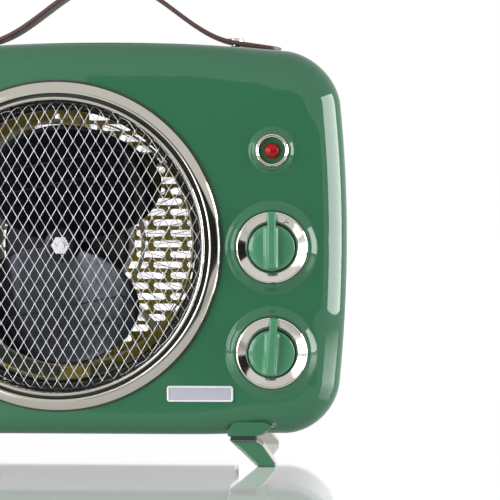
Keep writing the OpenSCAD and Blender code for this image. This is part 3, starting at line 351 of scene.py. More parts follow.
mats = {
    "green_gloss": makeMaterial("greenGloss", (0.0275, 0.118, 0.059), (0.0305, 0.129, 0.064), (0.2, 0.24), patch=9.0,
                                grain=1400.0, bump=0.05, bumpDepth=0.00004, specks=0.05,
                                sockets={"Coat Weight": 0.75, "Coat Roughness": 0.02, "Specular IOR Level": 0.0}),
    "knob_green": makeMaterial("knobGreen", (0.056, 0.2, 0.108), (0.063, 0.218, 0.117), (0.2, 0.24), patch=20.0,
                               grain=2400.0, bump=0.05, bumpDepth=0.00004, specks=0.03,
                               sockets={"Coat Weight": 0.7, "Coat Roughness": 0.02, "Specular IOR Level": 0.0}),
    "pale_grey": makeMaterial("paleGrey", (0.43, 0.45, 0.44), (0.48, 0.5, 0.49), (0.34, 0.42), patch=12.0,
                              grain=2600.0, bump=0.12, bumpDepth=0.00006, specks=0.06, speckColor=(0.4, 0.4, 0.38)),
    "chrome": makeMaterial("chrome", (0.58, 0.55, 0.51), (0.64, 0.61, 0.565), (0.05, 0.1), metal=1.0, patch=30.0,
                           grain=700.0, bump=0.03, bumpDepth=0.00003),
    "ring_chrome": makeMaterial("ringChrome", (0.47, 0.455, 0.4), (0.53, 0.51, 0.45), (0.05, 0.1), metal=1.0,
                                patch=30.0, grain=700.0, bump=0.03, bumpDepth=0.00003),
    "mesh_steel": makeMaterial("meshSteel", (0.42, 0.43, 0.45), (0.6, 0.61, 0.63), (0.22, 0.34), metal=0.9,
                               patch=260.0, grain=3000.0, bump=0.1, bumpDepth=0.00003),
    # pale beads on the wire crossings: painted highlights
    "mesh_glint": makeMaterial("meshGlint", (0.78, 0.79, 0.81), (0.88, 0.89, 0.91), (0.2, 0.3), metal=0.15, patch=260.0,
                             grain=3000.0, bump=0.1, bumpDepth=0.00003),
    "yellow_steel": makeMaterial("yellowSteel", (0.93, 0.76, 0.075), (0.84, 0.69, 0.1), (0.35, 0.5), metal=0.0,
                                 patch=55.0, grain=1500.0, bump=0.12, bumpDepth=0.00005),
    "black_plastic": makeMaterial("blackPlastic", (0.012, 0.012, 0.014), (0.02, 0.02, 0.022), (0.34, 0.46),
                                  patch=30.0, grain=2600.0, bump=0.2, bumpDepth=0.00006, specks=0.05),
    # black rubber, also drawn as the black rings of painted shade in the bezel's hollow, round its edge and in the
    # dials' gaps
    "black_rubber": makeMaterial("blackRubberAndShade", (0.014, 0.014, 0.014), (0.022, 0.021, 0.02), (0.6, 0.75), patch=60.0,
                                 grain=3200.0, bump=0.3, bumpDepth=0.00008),
    "black_paint": makeMaterial("blackPaint", (0.006, 0.006, 0.009), (0.01, 0.01, 0.014), (0.25, 0.36), patch=22.0,
                                grain=1800.0, bump=0.15, bumpDepth=0.00005, sockets={"IOR": 1.27}),
    # the blades' reflections are tinted blue: a painted blue cast in their reflections
    "fan_paint": makeMaterial("fanPaint", (0.002, 0.002, 0.003), (0.004, 0.004, 0.006), (0.1, 0.15), patch=26.0,
                              grain=1700.0, bump=0.12, bumpDepth=0.00005, specks=0.05,
                              sockets={"IOR": 1.38, "Specular Tint": (0.8, 0.86, 1.0, 1)}),
    "bright_steel": makeMaterial("brightSteel", (0.5, 0.5, 0.52), (0.6, 0.6, 0.62), (0.24, 0.34), metal=1.0,
                                 patch=120.0, grain=2400.0, bump=0.12, bumpDepth=0.00004),
    "laminations": makeMaterial("laminations", (0.2, 0.2, 0.21), (0.3, 0.29, 0.28), (0.4, 0.55), metal=1.0,
                                patch=70.0, grain=2000.0, bump=0.3, bumpDepth=0.0001),
    "copper": makeMaterial("copperWinding", (0.5, 0.18, 0.06), (0.62, 0.26, 0.1), (0.28, 0.4), metal=1.0, patch=90.0,
                           grain=2600.0, bump=0.5, bumpDepth=0.0002),
    "bronze": makeMaterial("bronzeBush", (0.42, 0.24, 0.08), (0.5, 0.31, 0.12), (0.4, 0.5), metal=1.0, patch=200.0,
                           grain=4000.0, bump=0.3, bumpDepth=0.00006),
    "mica": makeMaterial("micaBoard", (0.26, 0.2, 0.13), (0.36, 0.3, 0.21), (0.4, 0.6), patch=180.0, grain=1500.0,
                         bump=0.3, bumpDepth=0.0001),
    "heating_wire": makeMaterial("heatingWire", (0.1, 0.095, 0.09), (0.2, 0.19, 0.185), (0.3, 0.45), metal=1.0,
                                 patch=300.0, grain=3000.0, bump=0.1, bumpDepth=0.00003),
    "cream_moulding": makeMaterial("creamMoulding", (0.6, 0.57, 0.46), (0.66, 0.63, 0.52), (0.35, 0.45), patch=40.0,
                                   grain=2600.0, bump=0.15, bumpDepth=0.00006),
    "badge_silver": makeMaterial("badgeSilver", (0.36, 0.355, 0.41), (0.42, 0.415, 0.47), (0.3, 0.38), patch=160.0,
                                 grain=5200.0, bump=0.2, bumpDepth=0.00003, sockets={"Metallic": 0.25}),
    "red_lens": makeMaterial("redLens", (0.2, 0.002, 0.004), (0.36, 0.004, 0.008), (0.06, 0.1), patch=420.0,
                             grain=2400.0, bump=0.12, bumpDepth=0.0001, sockets={"IOR": 1.32}),
    "dial_print": makeMaterial("dialPrint", (0.03, 0.03, 0.035), (0.05, 0.05, 0.055), (0.4, 0.5), patch=90.0,
                               grain=3000.0, bump=0.1, bumpDepth=0.00003),
    "red_print": makeMaterial("redPrint", (0.5, 0.04, 0.02), (0.6, 0.06, 0.03), (0.4, 0.5), patch=90.0,
                              grain=3000.0, bump=0.1, bumpDepth=0.00003),
    "badge_rim": makeMaterial("badgeRim", (0.62, 0.6, 0.63), (0.7, 0.68, 0.71), (0.2, 0.28), patch=120.0,
                              grain=3000.0, bump=0.1, bumpDepth=0.00003),
    "spacer_black": makeMaterial("spacerBlack", (0.02, 0.016, 0.015), (0.03, 0.025, 0.023), (0.5, 0.6), patch=80.0,
                                 grain=2600.0, bump=0.2, bumpDepth=0.00006),
}
mats["leather"] = mats["spacer_black"]  # for the CAD strap, which a leather one replaces further on
slotOf = {s["node"]: s["material_slot"] for s in frame["record"]["subparts"]}
for label, piece in nodes.items():
    for holder in piece.material_slots:
        holder.material = mats[slotOf[label]]
print("materials ready:", len(mats))

# Front shell, with the moulded collar that swells up round each dial and its sunk seat
frontForm = {
    "outletR": 102.6, "dialR": 32.5, "dialBore": 16.35, "lampR": 16.4, "lampBore": 5.3, "segments": 192,
    "steep": [0, 0.02, 0.08, 0.2, 0.4, 0.7, 1.1, 1.7, 2.4, 3.2, 4.2, 5.4],  # insets of the rings, outer side
    "gentle": [5.4, 6.8, 8.4, 10, 12, 14, 16, 18, 20, 22, 24, 26],
    "steepInside": [2.5, 2.6, 2.8, 3.2, 3.8, 4.6, 5.6],
    "gentleInside": [5.6, 7.5, 10, 13, 17, 21, 26],
    "lip": [(2.5, -49.85), (0.5, -49.85), (0.15, -49.7), (0, -49.35), (0, -44), (0, -36), (0, -28)],
    "dialSwell": [(32.5, 0), (31.6, 0.08), (30.8, 0.33), (30, 0.8), (29.2, 1.45), (28.4, 2.15), (27.6, 2.8),
                  (26.9, 3.22), (26.2, 3.45), (25.6, 3.48), (25.1, 3.3), (24.8, 2.9), (24.72, 2.4), (24.72, 0.5),
                  (16.6, 0.5), (16.35, 0.2), (16.35, -2.5)],
    "lampSwell": [(16.4, 0), (15.8, 0.06), (15.1, 0.28), (14.5, 0.7), (14, 1.25), (13.4, 1.85), (12.8, 2.25),
                  (12.2, 2.44), (11.7, 2.5), (9.75, 2.5), (9.6, 2.3), (9.6, -0.5), (5.5, -0.5), (5.3, -0.7),
                  (5.3, -2.5)],
    "dialCalm": 25.2, "lampCalm": 14.0, "calmFade": 5.0}


def swell(profile, centre, calm):
    # the collar follows the face where that curves away, and stays flat inside the radius calm
    points, faces = revolve(profile, centre, frontForm["segments"], False)
    r = np.hypot(points[:, 0] - centre[0], points[:, 1] - centre[1])
    points[:, 2] += faceHeight(points[:, :2]) * softStep((r - calm) / frontForm["calmFade"])
    return points, faces


s, wall = frontForm, bodyForm["wall"]
frontHoles = [(*outlet, s["outletR"]), (*selector, s["dialR"]), (*thermostat, s["dialR"]), (*lamp, s["lampR"])]
innerHoles = [(*outlet, s["outletR"]), (*selector, s["dialBore"]), (*thermostat, s["dialBore"]),
              (*lamp, s["lampBore"])]
skirt = loft(s["lip"])
rimOut, rimIn = outline(0), outline(wall)
parts = [skirt, ringStack([skirt[0][-len(rimOut):], atHeight(rimOut, faceHeight(rimOut))]),
         liftedLoft(s["steep"], 0), liftedFace(s["gentle"], frontHoles, 0, s["segments"]),
         ringStack([atHeight(rimIn, s["lip"][0][1]), atHeight(rimIn, faceHeight(rimIn, wall))]),
         liftedLoft(s["steepInside"], wall), liftedFace(s["gentleInside"], innerHoles, wall, s["segments"]),
         revolve([(s["outletR"], 0), (s["outletR"], -wall)], outlet, s["segments"], False),
         swell(s["lampSwell"], lamp, s["lampCalm"])]
parts += [swell(s["dialSwell"], centre, s["dialCalm"]) for centre in (selector, thermostat)]
steadyNormals(makePiece("frontShell", parts, mats["green_gloss"], replaces=["front_shell"]))

# The green mouldings that run down to each front foot: a low front, then a roof that runs up into the face
mould = {"front": [(87.2, 20.1, -4), (105.8, 20.1, -4), (107, 24.6, -3.3), (87.2, 24.6, -3.3)],
         "seat": [(92, 30.8, -1.5), (113.5, 30.8, -1.5), (118.6, 27.6, -2.6), (112, 20.1, -12)], "back": -26,
         "soft": 1.5, "softSteps": 4, "softAngle": 20}
for side in (-1, 1):
    rim = [mould["front"][0]] + mould["seat"][::-1]
    corners = np.array(mould["front"] + mould["seat"] + [(u, v, mould["back"]) for u, v, _ in rim], float)
    corners[:, 0] *= side
    bm = bmesh.new()
    for point in corners:
        bm.verts.new(point)
    bmesh.ops.convex_hull(bm, input=bm.verts)
    bmesh.ops.delete(bm, geom=[v for v in bm.verts if not v.link_faces], context="VERTS")
    bmesh.ops.dissolve_limit(bm, angle_limit=math.radians(2), verts=bm.verts, edges=bm.edges)
    bm.verts.index_update()
    hull = np.array([v.co[:] for v in bm.verts]), [[v.index for v in face.verts] for face in bm.faces]
    bm.free()
    moulding = makePiece("footMoulding" + ("Left" if side < 0 else "Right"), [hull], mats["green_gloss"],
                         sharp=60)
    softenEdges(moulding, mould["soft"], mould["softSteps"], mould["softAngle"])

# Crowned green facings on the front feet, a little smaller than the chrome behind them
facing = {"edge": [(89.7, 16.9), (108.7, 0.5), (120.3, 0.5), (120.3, 2.2), (111.2, 14), (106.7, 16.9)],
          "perSide": 12, "middle": (107.0, 8.4), "lean": (8, 17),  # back by 8 for each 17 up, as the foot
          "crown": [(1, 0), (1, 0.8), (0.985, 1.0), (0.96, 1.12), (0.9, 1.25), (0.75, 1.5), (0.5, 1.8), (0.25, 1.95),
                    (0.03, 2.0)]}  # share of the outline, height
corners, middle = np.array(facing["edge"]), np.array(facing["middle"])
share = np.arange(facing["perSide"])[:, None] / facing["perSide"]
edge = np.vstack([p + (q - p) * share for p, q in zip(corners, np.roll(corners, -1, 0))])
parts = []
for side in (-1, 1):
    rings = []
    for t, w in facing["crown"]:
        p = middle + (edge - middle) * t
        rings.append(atHeight(p * (side, 1), w - facing["lean"][0] * p[:, 1] / facing["lean"][1]))
    parts.append((np.vstack(rings), cappedFaces(len(rings), len(edge))))
makePiece("footFacings", parts, mats["green_gloss"], replaces=["foot_facings"], sharp=50)

# Rear shell: its tongue goes into the front, and its screws stand in wells
rearForm = {"screwU": 135, "screwV": 101, "screwR": 3.6, "cord": (118.0, 52.0, 6.05), "intakeR": 97.2, "segments": 96,
            "lip": [(2.5, -50.15), (0.5, -50.15), (0.15, -50.3), (0, -50.65), (0, -70), (0, -96)],
            "inside": [(2.5, -50.15), (2.5, -96)],
            "tongue": [(2.4, -50.4), (2.7, -50), (2.7, -47.2), (2.9, -47), (4, -47), (4.2, -47.2), (4.2, -53),
                       (2.4, -53)],
            "well": [(3.6, -145), (3.6, -54), (1.9, -54), (1.9, -50.2), (6, -50.2), (6, -142.4)]}
s, depth, rearR = rearForm, bodyForm["depth"], bodyForm["rearRound"]
openHoles = [(*intake, s["intakeR"]), s["cord"]]
wells = [(x * s["screwU"], bodyForm["midV"] + y * s["screwV"], s["screwR"]) for x in (-1, 1) for y in (-1, 1)]
bend = np.radians(np.linspace(0, 90, 13))
outerRear = s["lip"] + [(rearR * (1 - math.cos(a)), -depth + rearR * (1 - math.sin(a))) for a in bend]
innerR = rearR - wall
innerRear = s["inside"] + [(wall + innerR * (1 - math.cos(a)), -depth + rearR - innerR * math.sin(a)) for a in bend]
edge = outline(rearR)
parts = [loft(outerRear), loft(innerRear), loft(s["tongue"]),
         holedFace(edge, openHoles + wells, -depth, s["segments"]),
         holedFace(edge, openHoles, -depth + wall, s["segments"])]
parts += [revolve([(r, -depth), (r, -depth + wall)], (u, v), s["segments"], False) for u, v, r in openHoles]
parts += [revolve(s["well"], (u, v), s["segments"], False) for u, v, _ in wells]
steadyNormals(makePiece("rearShell", parts, mats["pale_grey"], replaces=["rear_shell"]))
print("shells ready")

# Chrome ring: a narrow round lip, a deep hollow, then a bevel that falls away to its edge. A black ring in the
# hollow's floor is painted shade
bezel = {"segments": 256, "blackSegments": 192, "start": (100.3, -9), "lip": (101.4, 7.9), "lipR": 1.1,
         "hollow": [(102.5, 6), (102.6, 1.1), (104.9, 1.1), (105.0, 4.1), (105.3, 4.75)],
         "bevelAt": (105.5, 1.5), "bevelR": (7.7, 3.5),  # a quarter of an ellipse
         "foot": [(113.2, 1.1), (113.0, 0.85), (101.8, 0.8), (101.8, -9)],
         "black": [(102.65, 1.15), (104.85, 1.15), (104.85, 2.2), (102.65, 2.2)],
         "gasket": [(102.2, 0.05), (114.3, 0.05), (114.3, 0.95), (102.2, 0.75)]}
curve = np.radians(np.linspace(8, 90, 16))
fall = np.column_stack([bezel["bevelAt"][0] + bezel["bevelR"][0] * np.sin(curve),
                        bezel["bevelAt"][1] + bezel["bevelR"][1] * np.cos(curve)])
profile = np.vstack([bezel["start"], arcPoints(bezel["lip"], bezel["lipR"], 180, 0, 12), bezel["hollow"], fall,
                     bezel["foot"]])
makePiece("bezelRing", [revolve(profile, outlet, bezel["segments"])], mats["ring_chrome"], replaces=["bezel_ring"],
          sharp=40)
# painted shade: a black ring laid in the floor of the chrome hollow, which is dark there
hollow = revolve(softCorners(bezel["black"], 0.2), outlet, bezel["blackSegments"])
makePiece("bezelHollowShade", [hollow], mats["black_rubber"], sharp=60)
# the gasket's black edge, which stands out past the ring, is a painted shadow line for the gap between ring and face
gasket = revolve(softCorners(bezel["gasket"], 0.3), outlet, bezel["blackSegments"])
makePiece("bezelGasketShade", [gasket], mats["black_rubber"], replaces=["bezel_gasket"], sharp=60)
# The black collar that the cloth turns back into
collar = {"profile": [(102.2, -9.3), (102.2, -11.8), (98.6, -13), (96, -16), (95.3, -26), (94.6, -26), (94.5, -16),
                      (96.3, -12), (98.6, -9.9), (100.2, -9.3)], "soft": 0.5, "segments": 192}
makePiece("grilleCollar", [revolve(softCorners(collar["profile"], collar["soft"]), outlet, collar["segments"])],
          mats["black_paint"], replaces=["grille_collar"], sharp=60)

# Wire cloth: two families of wires that pass over and under each other and bend back inside the ring
cloth = {"halfU": 3.875, "halfV": 6.6, "radius": 0.27, "knot": 0.3, "knotLong": 0.5, "wave": 0.22, "level": 0.45,
         "flat": 95.0, "bend": 4.2, "end": 10.6,
         "stations": [-0.5, -0.3, -0.14, -0.07, -0.03, 0.03, 0.07, 0.14, 0.3],  # between one crossing and the next
         # the profile (r, w) of the pale beads on the crossings, which are painted highlights
         "glint": [(0.01, 0.4), (0.3, 0.36), (0.52, 0.2), (0.6, 0), (0.52, -0.2), (0.3, -0.36), (0.01, -0.4)],
         "glintLevel": 0.6, "glintSides": 10, "knotPast": 3, "glintPast": 2,  # how far past the flat part they go on
         "shortest": 12, "countU": 26, "countV": 16}
step = math.hypot(cloth["halfU"], cloth["halfV"])
spacing = 2 * cloth["halfU"] * cloth["halfV"] / step
reach = cloth["flat"] + cloth["end"]
stations = np.array(cloth["stations"])
parts = []
for family in (-1, 1):
    along = np.array([cloth["halfU"], family * cloth["halfV"]]) / step
    across = np.array([-along[1], along[0]])
    count = int(reach / spacing)
    for k in range(-count, count + 1):
        d = k * spacing
        half = math.sqrt(reach ** 2 - d ** 2)
        # crossings lie a step apart, from where the wire passes the middle
        start = family * d / 2 / step * (cloth["halfU"] / cloth["halfV"] - cloth["halfV"] / cloth["halfU"])
        crossings = np.arange(-int(half / step) - 12, int(half / step) + 13)
        s = ((crossings[:, None] + stations).ravel() - start) * step
        near = np.tile(stations, len(crossings))[np.abs(s) < half]
        s = s[np.abs(s) < half]
        if len(s) < cloth["shortest"]:
            continue
        flat = np.outer(s, along) + d * across
        rho = np.hypot(*flat.T)
        # wave cos(pi p) cos(pi q), with p and q counting crossings: one family is up where the other is down
        uPhase = (flat[:, 0] / cloth["halfU"] + flat[:, 1] / cloth["halfV"]) / 2
        vPhase = (flat[:, 0] / cloth["halfU"] - flat[:, 1] / cloth["halfV"]) / 2
        wave = family * cloth["wave"] * np.cos(np.pi * uPhase) * np.cos(np.pi * vPhase)
        # past the flat part the wire turns through a quarter circle, then runs straight back
        over = np.clip(rho - cloth["flat"], 0, None)
        turn = np.clip(over / cloth["bend"], 0, np.pi / 2)
        back = np.clip(over - cloth["bend"] * np.pi / 2, 0, None)
        outward = flat / np.maximum(rho, 1e-6)[:, None]
        r = np.minimum(rho, cloth["flat"]) + cloth["bend"] * np.sin(turn)
        w = cloth["level"] - cloth["bend"] * (1 - np.cos(turn)) - back
        normals = np.column_stack([outward * np.sin(turn)[:, None], np.cos(turn)])
        path = np.column_stack([outward * r[:, None], w]) + normals * wave[:, None]
        path[:, :2] += outlet
        bulge = cloth["knot"] * np.exp(-(near * step / cloth["knotLong"]) ** 2)
        parts.append(tube(path, cloth["radius"] + bulge * (rho < cloth["flat"] + cloth["knotPast"]), normals, 6))
makePiece("wireCloth", parts, mats["mesh_steel"], replaces=["grille_mesh"], sharp=180, weld=False)
# painted highlights: a pale bead on each crossing, bright wherever the lamps fall, as the crossings glint
i, j = np.meshgrid(np.arange(-cloth["countU"], cloth["countU"] + 1),
                   np.arange(-cloth["countV"], cloth["countV"] + 1), indexing="ij")
even = (i + j) % 2 == 0
knots = np.column_stack([i[even] * cloth["halfU"], j[even] * cloth["halfV"]])
knots = knots[np.hypot(*knots.T) < cloth["flat"] + cloth["glintPast"]]
ball, ballFaces = revolve(cloth["glint"], (0, 0), cloth["glintSides"], False)
glintDabs = [(ball + [outlet[0] + u, outlet[1] + v, cloth["glintLevel"]], ballFaces) for u, v in knots]
makePiece("wireGlints", glintDabs, mats["mesh_glint"], sharp=180, weld=False)
print("grille ready:", len(parts), "wires,", len(knots), "crossings")

# Fan: two broad paddles pressed from sheet, each with a long stiffening bead
fan = {"half": 61.5, "wide": 42.0, "centre": 43.0, "aside": 6.6, "tip": 84.3, "depth": 31, "pitch": math.radians(13),
       "camber": 280, "crest": 4, "thick": 1.4, "softEdge": (0.12, 0.35),
       # the bead is a stadium that leans across the blade: its two ends, their radius and where they start
       "beadEnds": [(36, 59.4), (-42, 43.2)], "beadR": 7.75, "beadTurn": (-78.3, 101.7), "beadWire": 0.58,
       "beadSink": 0.1, "hub": [(3.02, -42), (12, -42), (12, -20), (3.02, -20)], "hubSoft": 1.2,
       "around": 144, "rings": 16, "hubSegments": 64}


def bladeHeight(x, drop=0.0):
    # z' = crest - R + sqrt(R^2 - x'^2), turned by the pitch about the blade's long axis
    c, s = math.cos(fan["pitch"]), math.sin(fan["pitch"])
    r = fan["camber"] - drop
    t = np.array(x, float)
    for _ in range(12):  # x' is closed in on
        z = fan["crest"] - fan["camber"] + np.sqrt(r * r - t * t)
        t = (x - z * s) / c
    z = fan["crest"] - fan["camber"] + np.sqrt(r * r - t * t)
    return -t * s + z * c


def turned(p, degrees):
    # (x cos a - y sin a, x sin a + y cos a) about the outlet's middle, at the fan's depth
    a = math.radians(degrees)
    x, y = p[:, 0] * math.cos(a) - p[:, 1] * math.sin(a), p[:, 0] * math.sin(a) + p[:, 1] * math.cos(a)
    return np.column_stack([x + outlet[0], y + outlet[1], p[:, 2] - fan["depth"]])


a = np.linspace(0, 2 * np.pi, fan["around"], endpoint=False)
rim = np.column_stack([fan["aside"] + fan["half"] * np.cos(a), fan["centre"] + fan["wide"] * np.sin(a)])
far = np.hypot(*rim.T)
rim *= np.where(far > fan["tip"], fan["tip"] / far, 1)[:, None]
middle = np.array([fan["aside"], fan["centre"]])
# rings from the middle out over the front, and back in over the rear, a little lower at the sheared edge
spread = np.concatenate([np.linspace(0.02, 0.97, fan["rings"]), [0.99, 0.997]])
drop = np.concatenate([np.zeros(fan["rings"]), fan["softEdge"]])
spread, drop = np.append(spread, spread[::-1]), np.append(drop, fan["thick"] - drop[::-1])
flat = middle + (rim - middle) * spread[:, None, None]
blade = np.concatenate([flat, bladeHeight(flat[..., 0], drop[:, None])[..., None]], -1).reshape(-1, 3)
bladeFaces = cappedFaces(len(spread), len(a))
a0, a1 = fan["beadTurn"]
bead = np.vstack([arcPoints(fan["beadEnds"][0], fan["beadR"], a0, a1, 14),
                  arcPoints(fan["beadEnds"][1], fan["beadR"], a1, a1 + 180, 14)])
bead = denser(bead, 2, closed=True)
bead = atHeight(bead, bladeHeight(bead[:, 0]) - fan["beadSink"])
parts = [(turned(blade, half), bladeFaces) for half in (0, 180)]
parts.append(revolve(softCorners(fan["hub"], fan["hubSoft"]), outlet, fan["hubSegments"]))
makePiece("fanBlades", parts, mats["fan_paint"], body="fan", replaces=["fan_impeller"], sharp=40,
          weld=False)
# the beads are drawn in a duller black paint than the blades, so that each shows as a dark line: painted shade of the
# bead's groove
beadShade = [tube(turned(bead, half), fan["beadWire"], closed=True) for half in (0, 180)]
makePiece("fanBeadShade", beadShade, mats["black_paint"], body="fan", sharp=180, weld=False)
print("fan ready")

# Heating wires: fine runs laid to and fro between two rings of eyelets, in two layers that lean apart
wire = {"inner": 55.2, "outer": 87.6, "runs": 76, "radius": 0.24, "lean": 3.2, "piece": 4,
        "layers": [("heating_wire_1", 68.0, -1), ("heating_wire_2", 80.0, 1)]}
for k, (label, down, sense) in enumerate(wire["layers"]):
    a = -90 + 360 / wire["runs"] * (np.arange(wire["runs"]) + 0.5)
    ends = np.column_stack([a, a + sense * wire["lean"]])
    ends[1::2] = ends[1::2, ::-1]
    ends = np.radians(ends.ravel())
    r = np.tile([wire["inner"], wire["outer"], wire["outer"], wire["inner"]], wire["runs"] // 2)
    path = denser(np.column_stack([outlet[0] + r * np.cos(ends), outlet[1] + r * np.sin(ends)]), wire["piece"], 2)
    makePiece("heatingWire%d" % (k + 1), [tube(atHeight(path, -down), wire["radius"], sides=6)], mats["heating_wire"],
              replaces=[label], sharp=180, weld=False)
print("heating wires ready")

# Dials: a sloped chrome band, undercut inside, and thin marks as (from, to, radius from, to, thickness)
dial = {"profile": [(17.9, 0.5), (24.5, 0.5), (24.5, 4.2), (23.5, 5), (17.55, 3.35), (16.8, 3.1), (16.8, 2.8)],
        "gapShade": [(16.1, 0.55), (17.5, 0.55), (17.5, 2.1), (16.1, 2.1)], "soft": 0.3, "segments": 160,
        "bandR": [17, 17.75, 23.4, 24.4], "bandW": [3.1, 3.35, 4.95, 4.2],
        "red": [(52, 56.5, 17.7, 17.7, 0.36), (53.5, 55, 18.4, 18.4, 0.3)],
        # selector: a dot between each of off, fan, one and two, a radial tick, and one and two as strokes
        "selector": [(13.6, 14.4, 20.5, 20.5, 0.36), (43.6, 44.4, 20.5, 20.5, 0.36), (74.1, 74.9, 20.5, 20.5, 0.36),
                     (59.4, 59.4, 18.8, 21.6, 0.28), (88, 88, 18.7, 21.8, 0.26), (92.6, 92.6, 18.7, 21.8, 0.26)],
        # thermostat: rings that widen towards the warm end
        "thermostat": [(18, 205, 23, 23, 0.13), (26, 198, 21.7, 21.7, 0.13), (34, 191, 20.3, 20.3, 0.13),
                       (42, 184, 18.9, 18.9, 0.13)],
        "signAt": (29, 20.3), "signR": [0.25, 0.8, 1.5, 2], "signThick": [0.18, 0.3, 0.42, 0.2],
        "signTurns": [90, 210, 330], "signLift": 0.1, "signRise": 0.03}


def onDial(centre, turn, r):
    # a point on the band, turn in degrees clockwise from the top
    w = np.interp(r, dial["bandR"], dial["bandW"])
    a = np.radians(90 - np.asarray(turn, float))
    return np.column_stack(np.broadcast_arrays(centre[0] + r * np.cos(a), centre[1] + r * np.sin(a), w))


def stroke(centre, turn0, turn1, r0, r1, thick):
    # a raised line on the band, sunk by 0.4 of its radius
    path = onDial(centre, np.linspace(turn0, turn1, 28), np.linspace(r0, r1, 28))
    return tube(path - [0, 0, thick * 0.4], thick, sides=6)


for label, centre in (("selector", selector), ("thermostat", thermostat)):
    band = revolve(softCorners(dial["profile"], dial["soft"]), centre, dial["segments"])
    makePiece(label + "Dial", [band], mats["chrome"], replaces=[label + "_dial"], sharp=50)
    # painted shade: a black ring in the gap between knob and dial, where that gap lies in shadow
    gapShade = revolve(softCorners(dial["gapShade"], dial["soft"]), centre)
    makePiece(label + "GapShade", [gapShade], mats["black_rubber"], sharp=60)
    makePiece(label + "RedMark", [stroke(centre, *mark) for mark in dial["red"]], mats["red_print"],
              sharp=180)
marks = [stroke(selector, *mark) for mark in dial["selector"]]
q = np.array(dial["signR"])
for a in np.radians(dial["signTurns"]):
    # three little blades round the fan sign's middle, rising outwards
    arm = onDial(selector, *dial["signAt"])[0] + np.outer(q, [math.cos(a), math.sin(a), dial["signRise"]])
    arm[:, 2] += dial["signLift"]
    marks.append(tube(arm, np.array(dial["signThick"]), sides=6))
makePiece("selectorMarks", marks, mats["dial_print"], sharp=180, weld=False)
makePiece("thermostatMarks", [stroke(thermostat, *mark) for mark in dial["thermostat"]], mats["dial_print"],
          sharp=180, weld=False)

# Knobs: a domed disc with a grip across it that reaches over the dial and flows into the disc
knob = {"foot": [(0.01, 0.9), (15.4, 0.9), (15.85, 1.3)], "edge": (14.65, 7), "edgeR": 1.2,
        "dome": [(12, 8.5), (8, 8.8), (4, 8.92), (0.01, 8.95)],
        "boss": [(3.02, -6), (6, -6), (6, 2), (3.02, 2)], "bossSoft": 0.4, "segments": 128, "bossSegments": 48,
        "selectorTurn": 0.0, "thermostatTurn": -4.0}  # degrees at rest
grip = {"top": 25.1, "bottom": -15.1, "low": 5.7, "base": 8.9, "crest": 16.91, "half": 2.75, "flare": 3.1, "soft": 0.8,
        "ends": [0, 0.04, 0.15, 0.35, 0.65, 1.05, 1.5, 2.1], "between": (-12, 22.4, 44),  # stations along it
        "planR": 1.5, "endR": 2.1, "endDrop": 1.9, "slopeR": 6.0, "slopeDrop": 5.0, "disc": 15.2}


def gripRings():
    # one ring of (x, w) round the grip at each station v
    g = grip
    ends = np.array(g["ends"])
    v = np.concatenate([g["bottom"] + ends, np.linspace(*g["between"]), g["top"] - ends[::-1]])
    fromEnd = np.minimum(g["top"] - v, v - g["bottom"])
    # each end is rounded in plan and in height by 1 - sqrt(1 - (1 - d/r)^2), d from the end
    plan = np.sqrt(np.clip(1 - (1 - np.clip(fromEnd / g["planR"], 0, 1)) ** 2, 0.05, 1))
    lowered = g["endDrop"] * (1 - np.sqrt(1 - (1 - np.clip(fromEnd / g["endR"], 0, 1)) ** 2))
    sloped = g["slopeDrop"] * (1 - np.sqrt(1 - (1 - np.clip((v - g["bottom"]) / g["slopeR"], 0, 1)) ** 2))
    h, top = g["half"] * plan, g["crest"] - np.maximum(lowered, sloped)
    room = np.sqrt(np.clip(g["disc"] ** 2 - v ** 2, 0, None))
    flare = np.minimum(g["flare"], np.maximum(0.02, room - h))
    base = np.where(np.abs(v) < g["disc"], g["base"] - 0.5 * (v / 15) ** 2, g["low"] + 0.6)
    soft = np.minimum(g["soft"], h * 0.6)
    side = [(h + flare, np.minimum(g["low"] + 1.2, base - 0.2))]
    side += [(h + flare + flare * math.cos(a), base + flare + flare * math.sin(a))
             for a in np.radians(np.linspace(270, 180, 9))]
    side += [(h * 0.985, (base + flare + top) / 2)]
    side += [(h * 0.97 - soft + soft * math.cos(a), top - soft + soft * math.sin(a))
             for a in np.radians([0, 22, 45, 68, 90])]
    side += [((h - soft) * 0.5, top + 0.08)]
    rings = np.array(side + [(-x, w) for x, w in side[::-1]])  # ring point, x or w, station
    x, w = rings[:, 0].T, rings[:, 1].T
    return np.stack([x, np.broadcast_to(v[:, None], x.shape), w], -1)


for label, centre in (("selector", selector), ("thermostat", thermostat)):
    profile = np.vstack([knob["foot"], arcPoints(knob["edge"], knob["edgeR"], 0, 78, 6), knob["dome"]])
    disc = revolve(profile, centre, knob["segments"], False)
    boss = revolve(softCorners(knob["boss"], knob["bossSoft"]), centre, knob["bossSegments"])
    rings = gripRings()
    x, v, w = rings.reshape(-1, 3).T
    angle = math.radians(knob[label + "Turn"])
    c, s = math.cos(angle), math.sin(angle)
    bar = np.column_stack([centre[0] + x * c - v * s, centre[1] + x * s + v * c, w])
    makePiece(label + "Knob", [disc, boss, (bar, cappedFaces(*rings.shape[:2]))], mats["knob_green"], body=label,
              replaces=[label + "_knob"], sharp=70, weld=False)

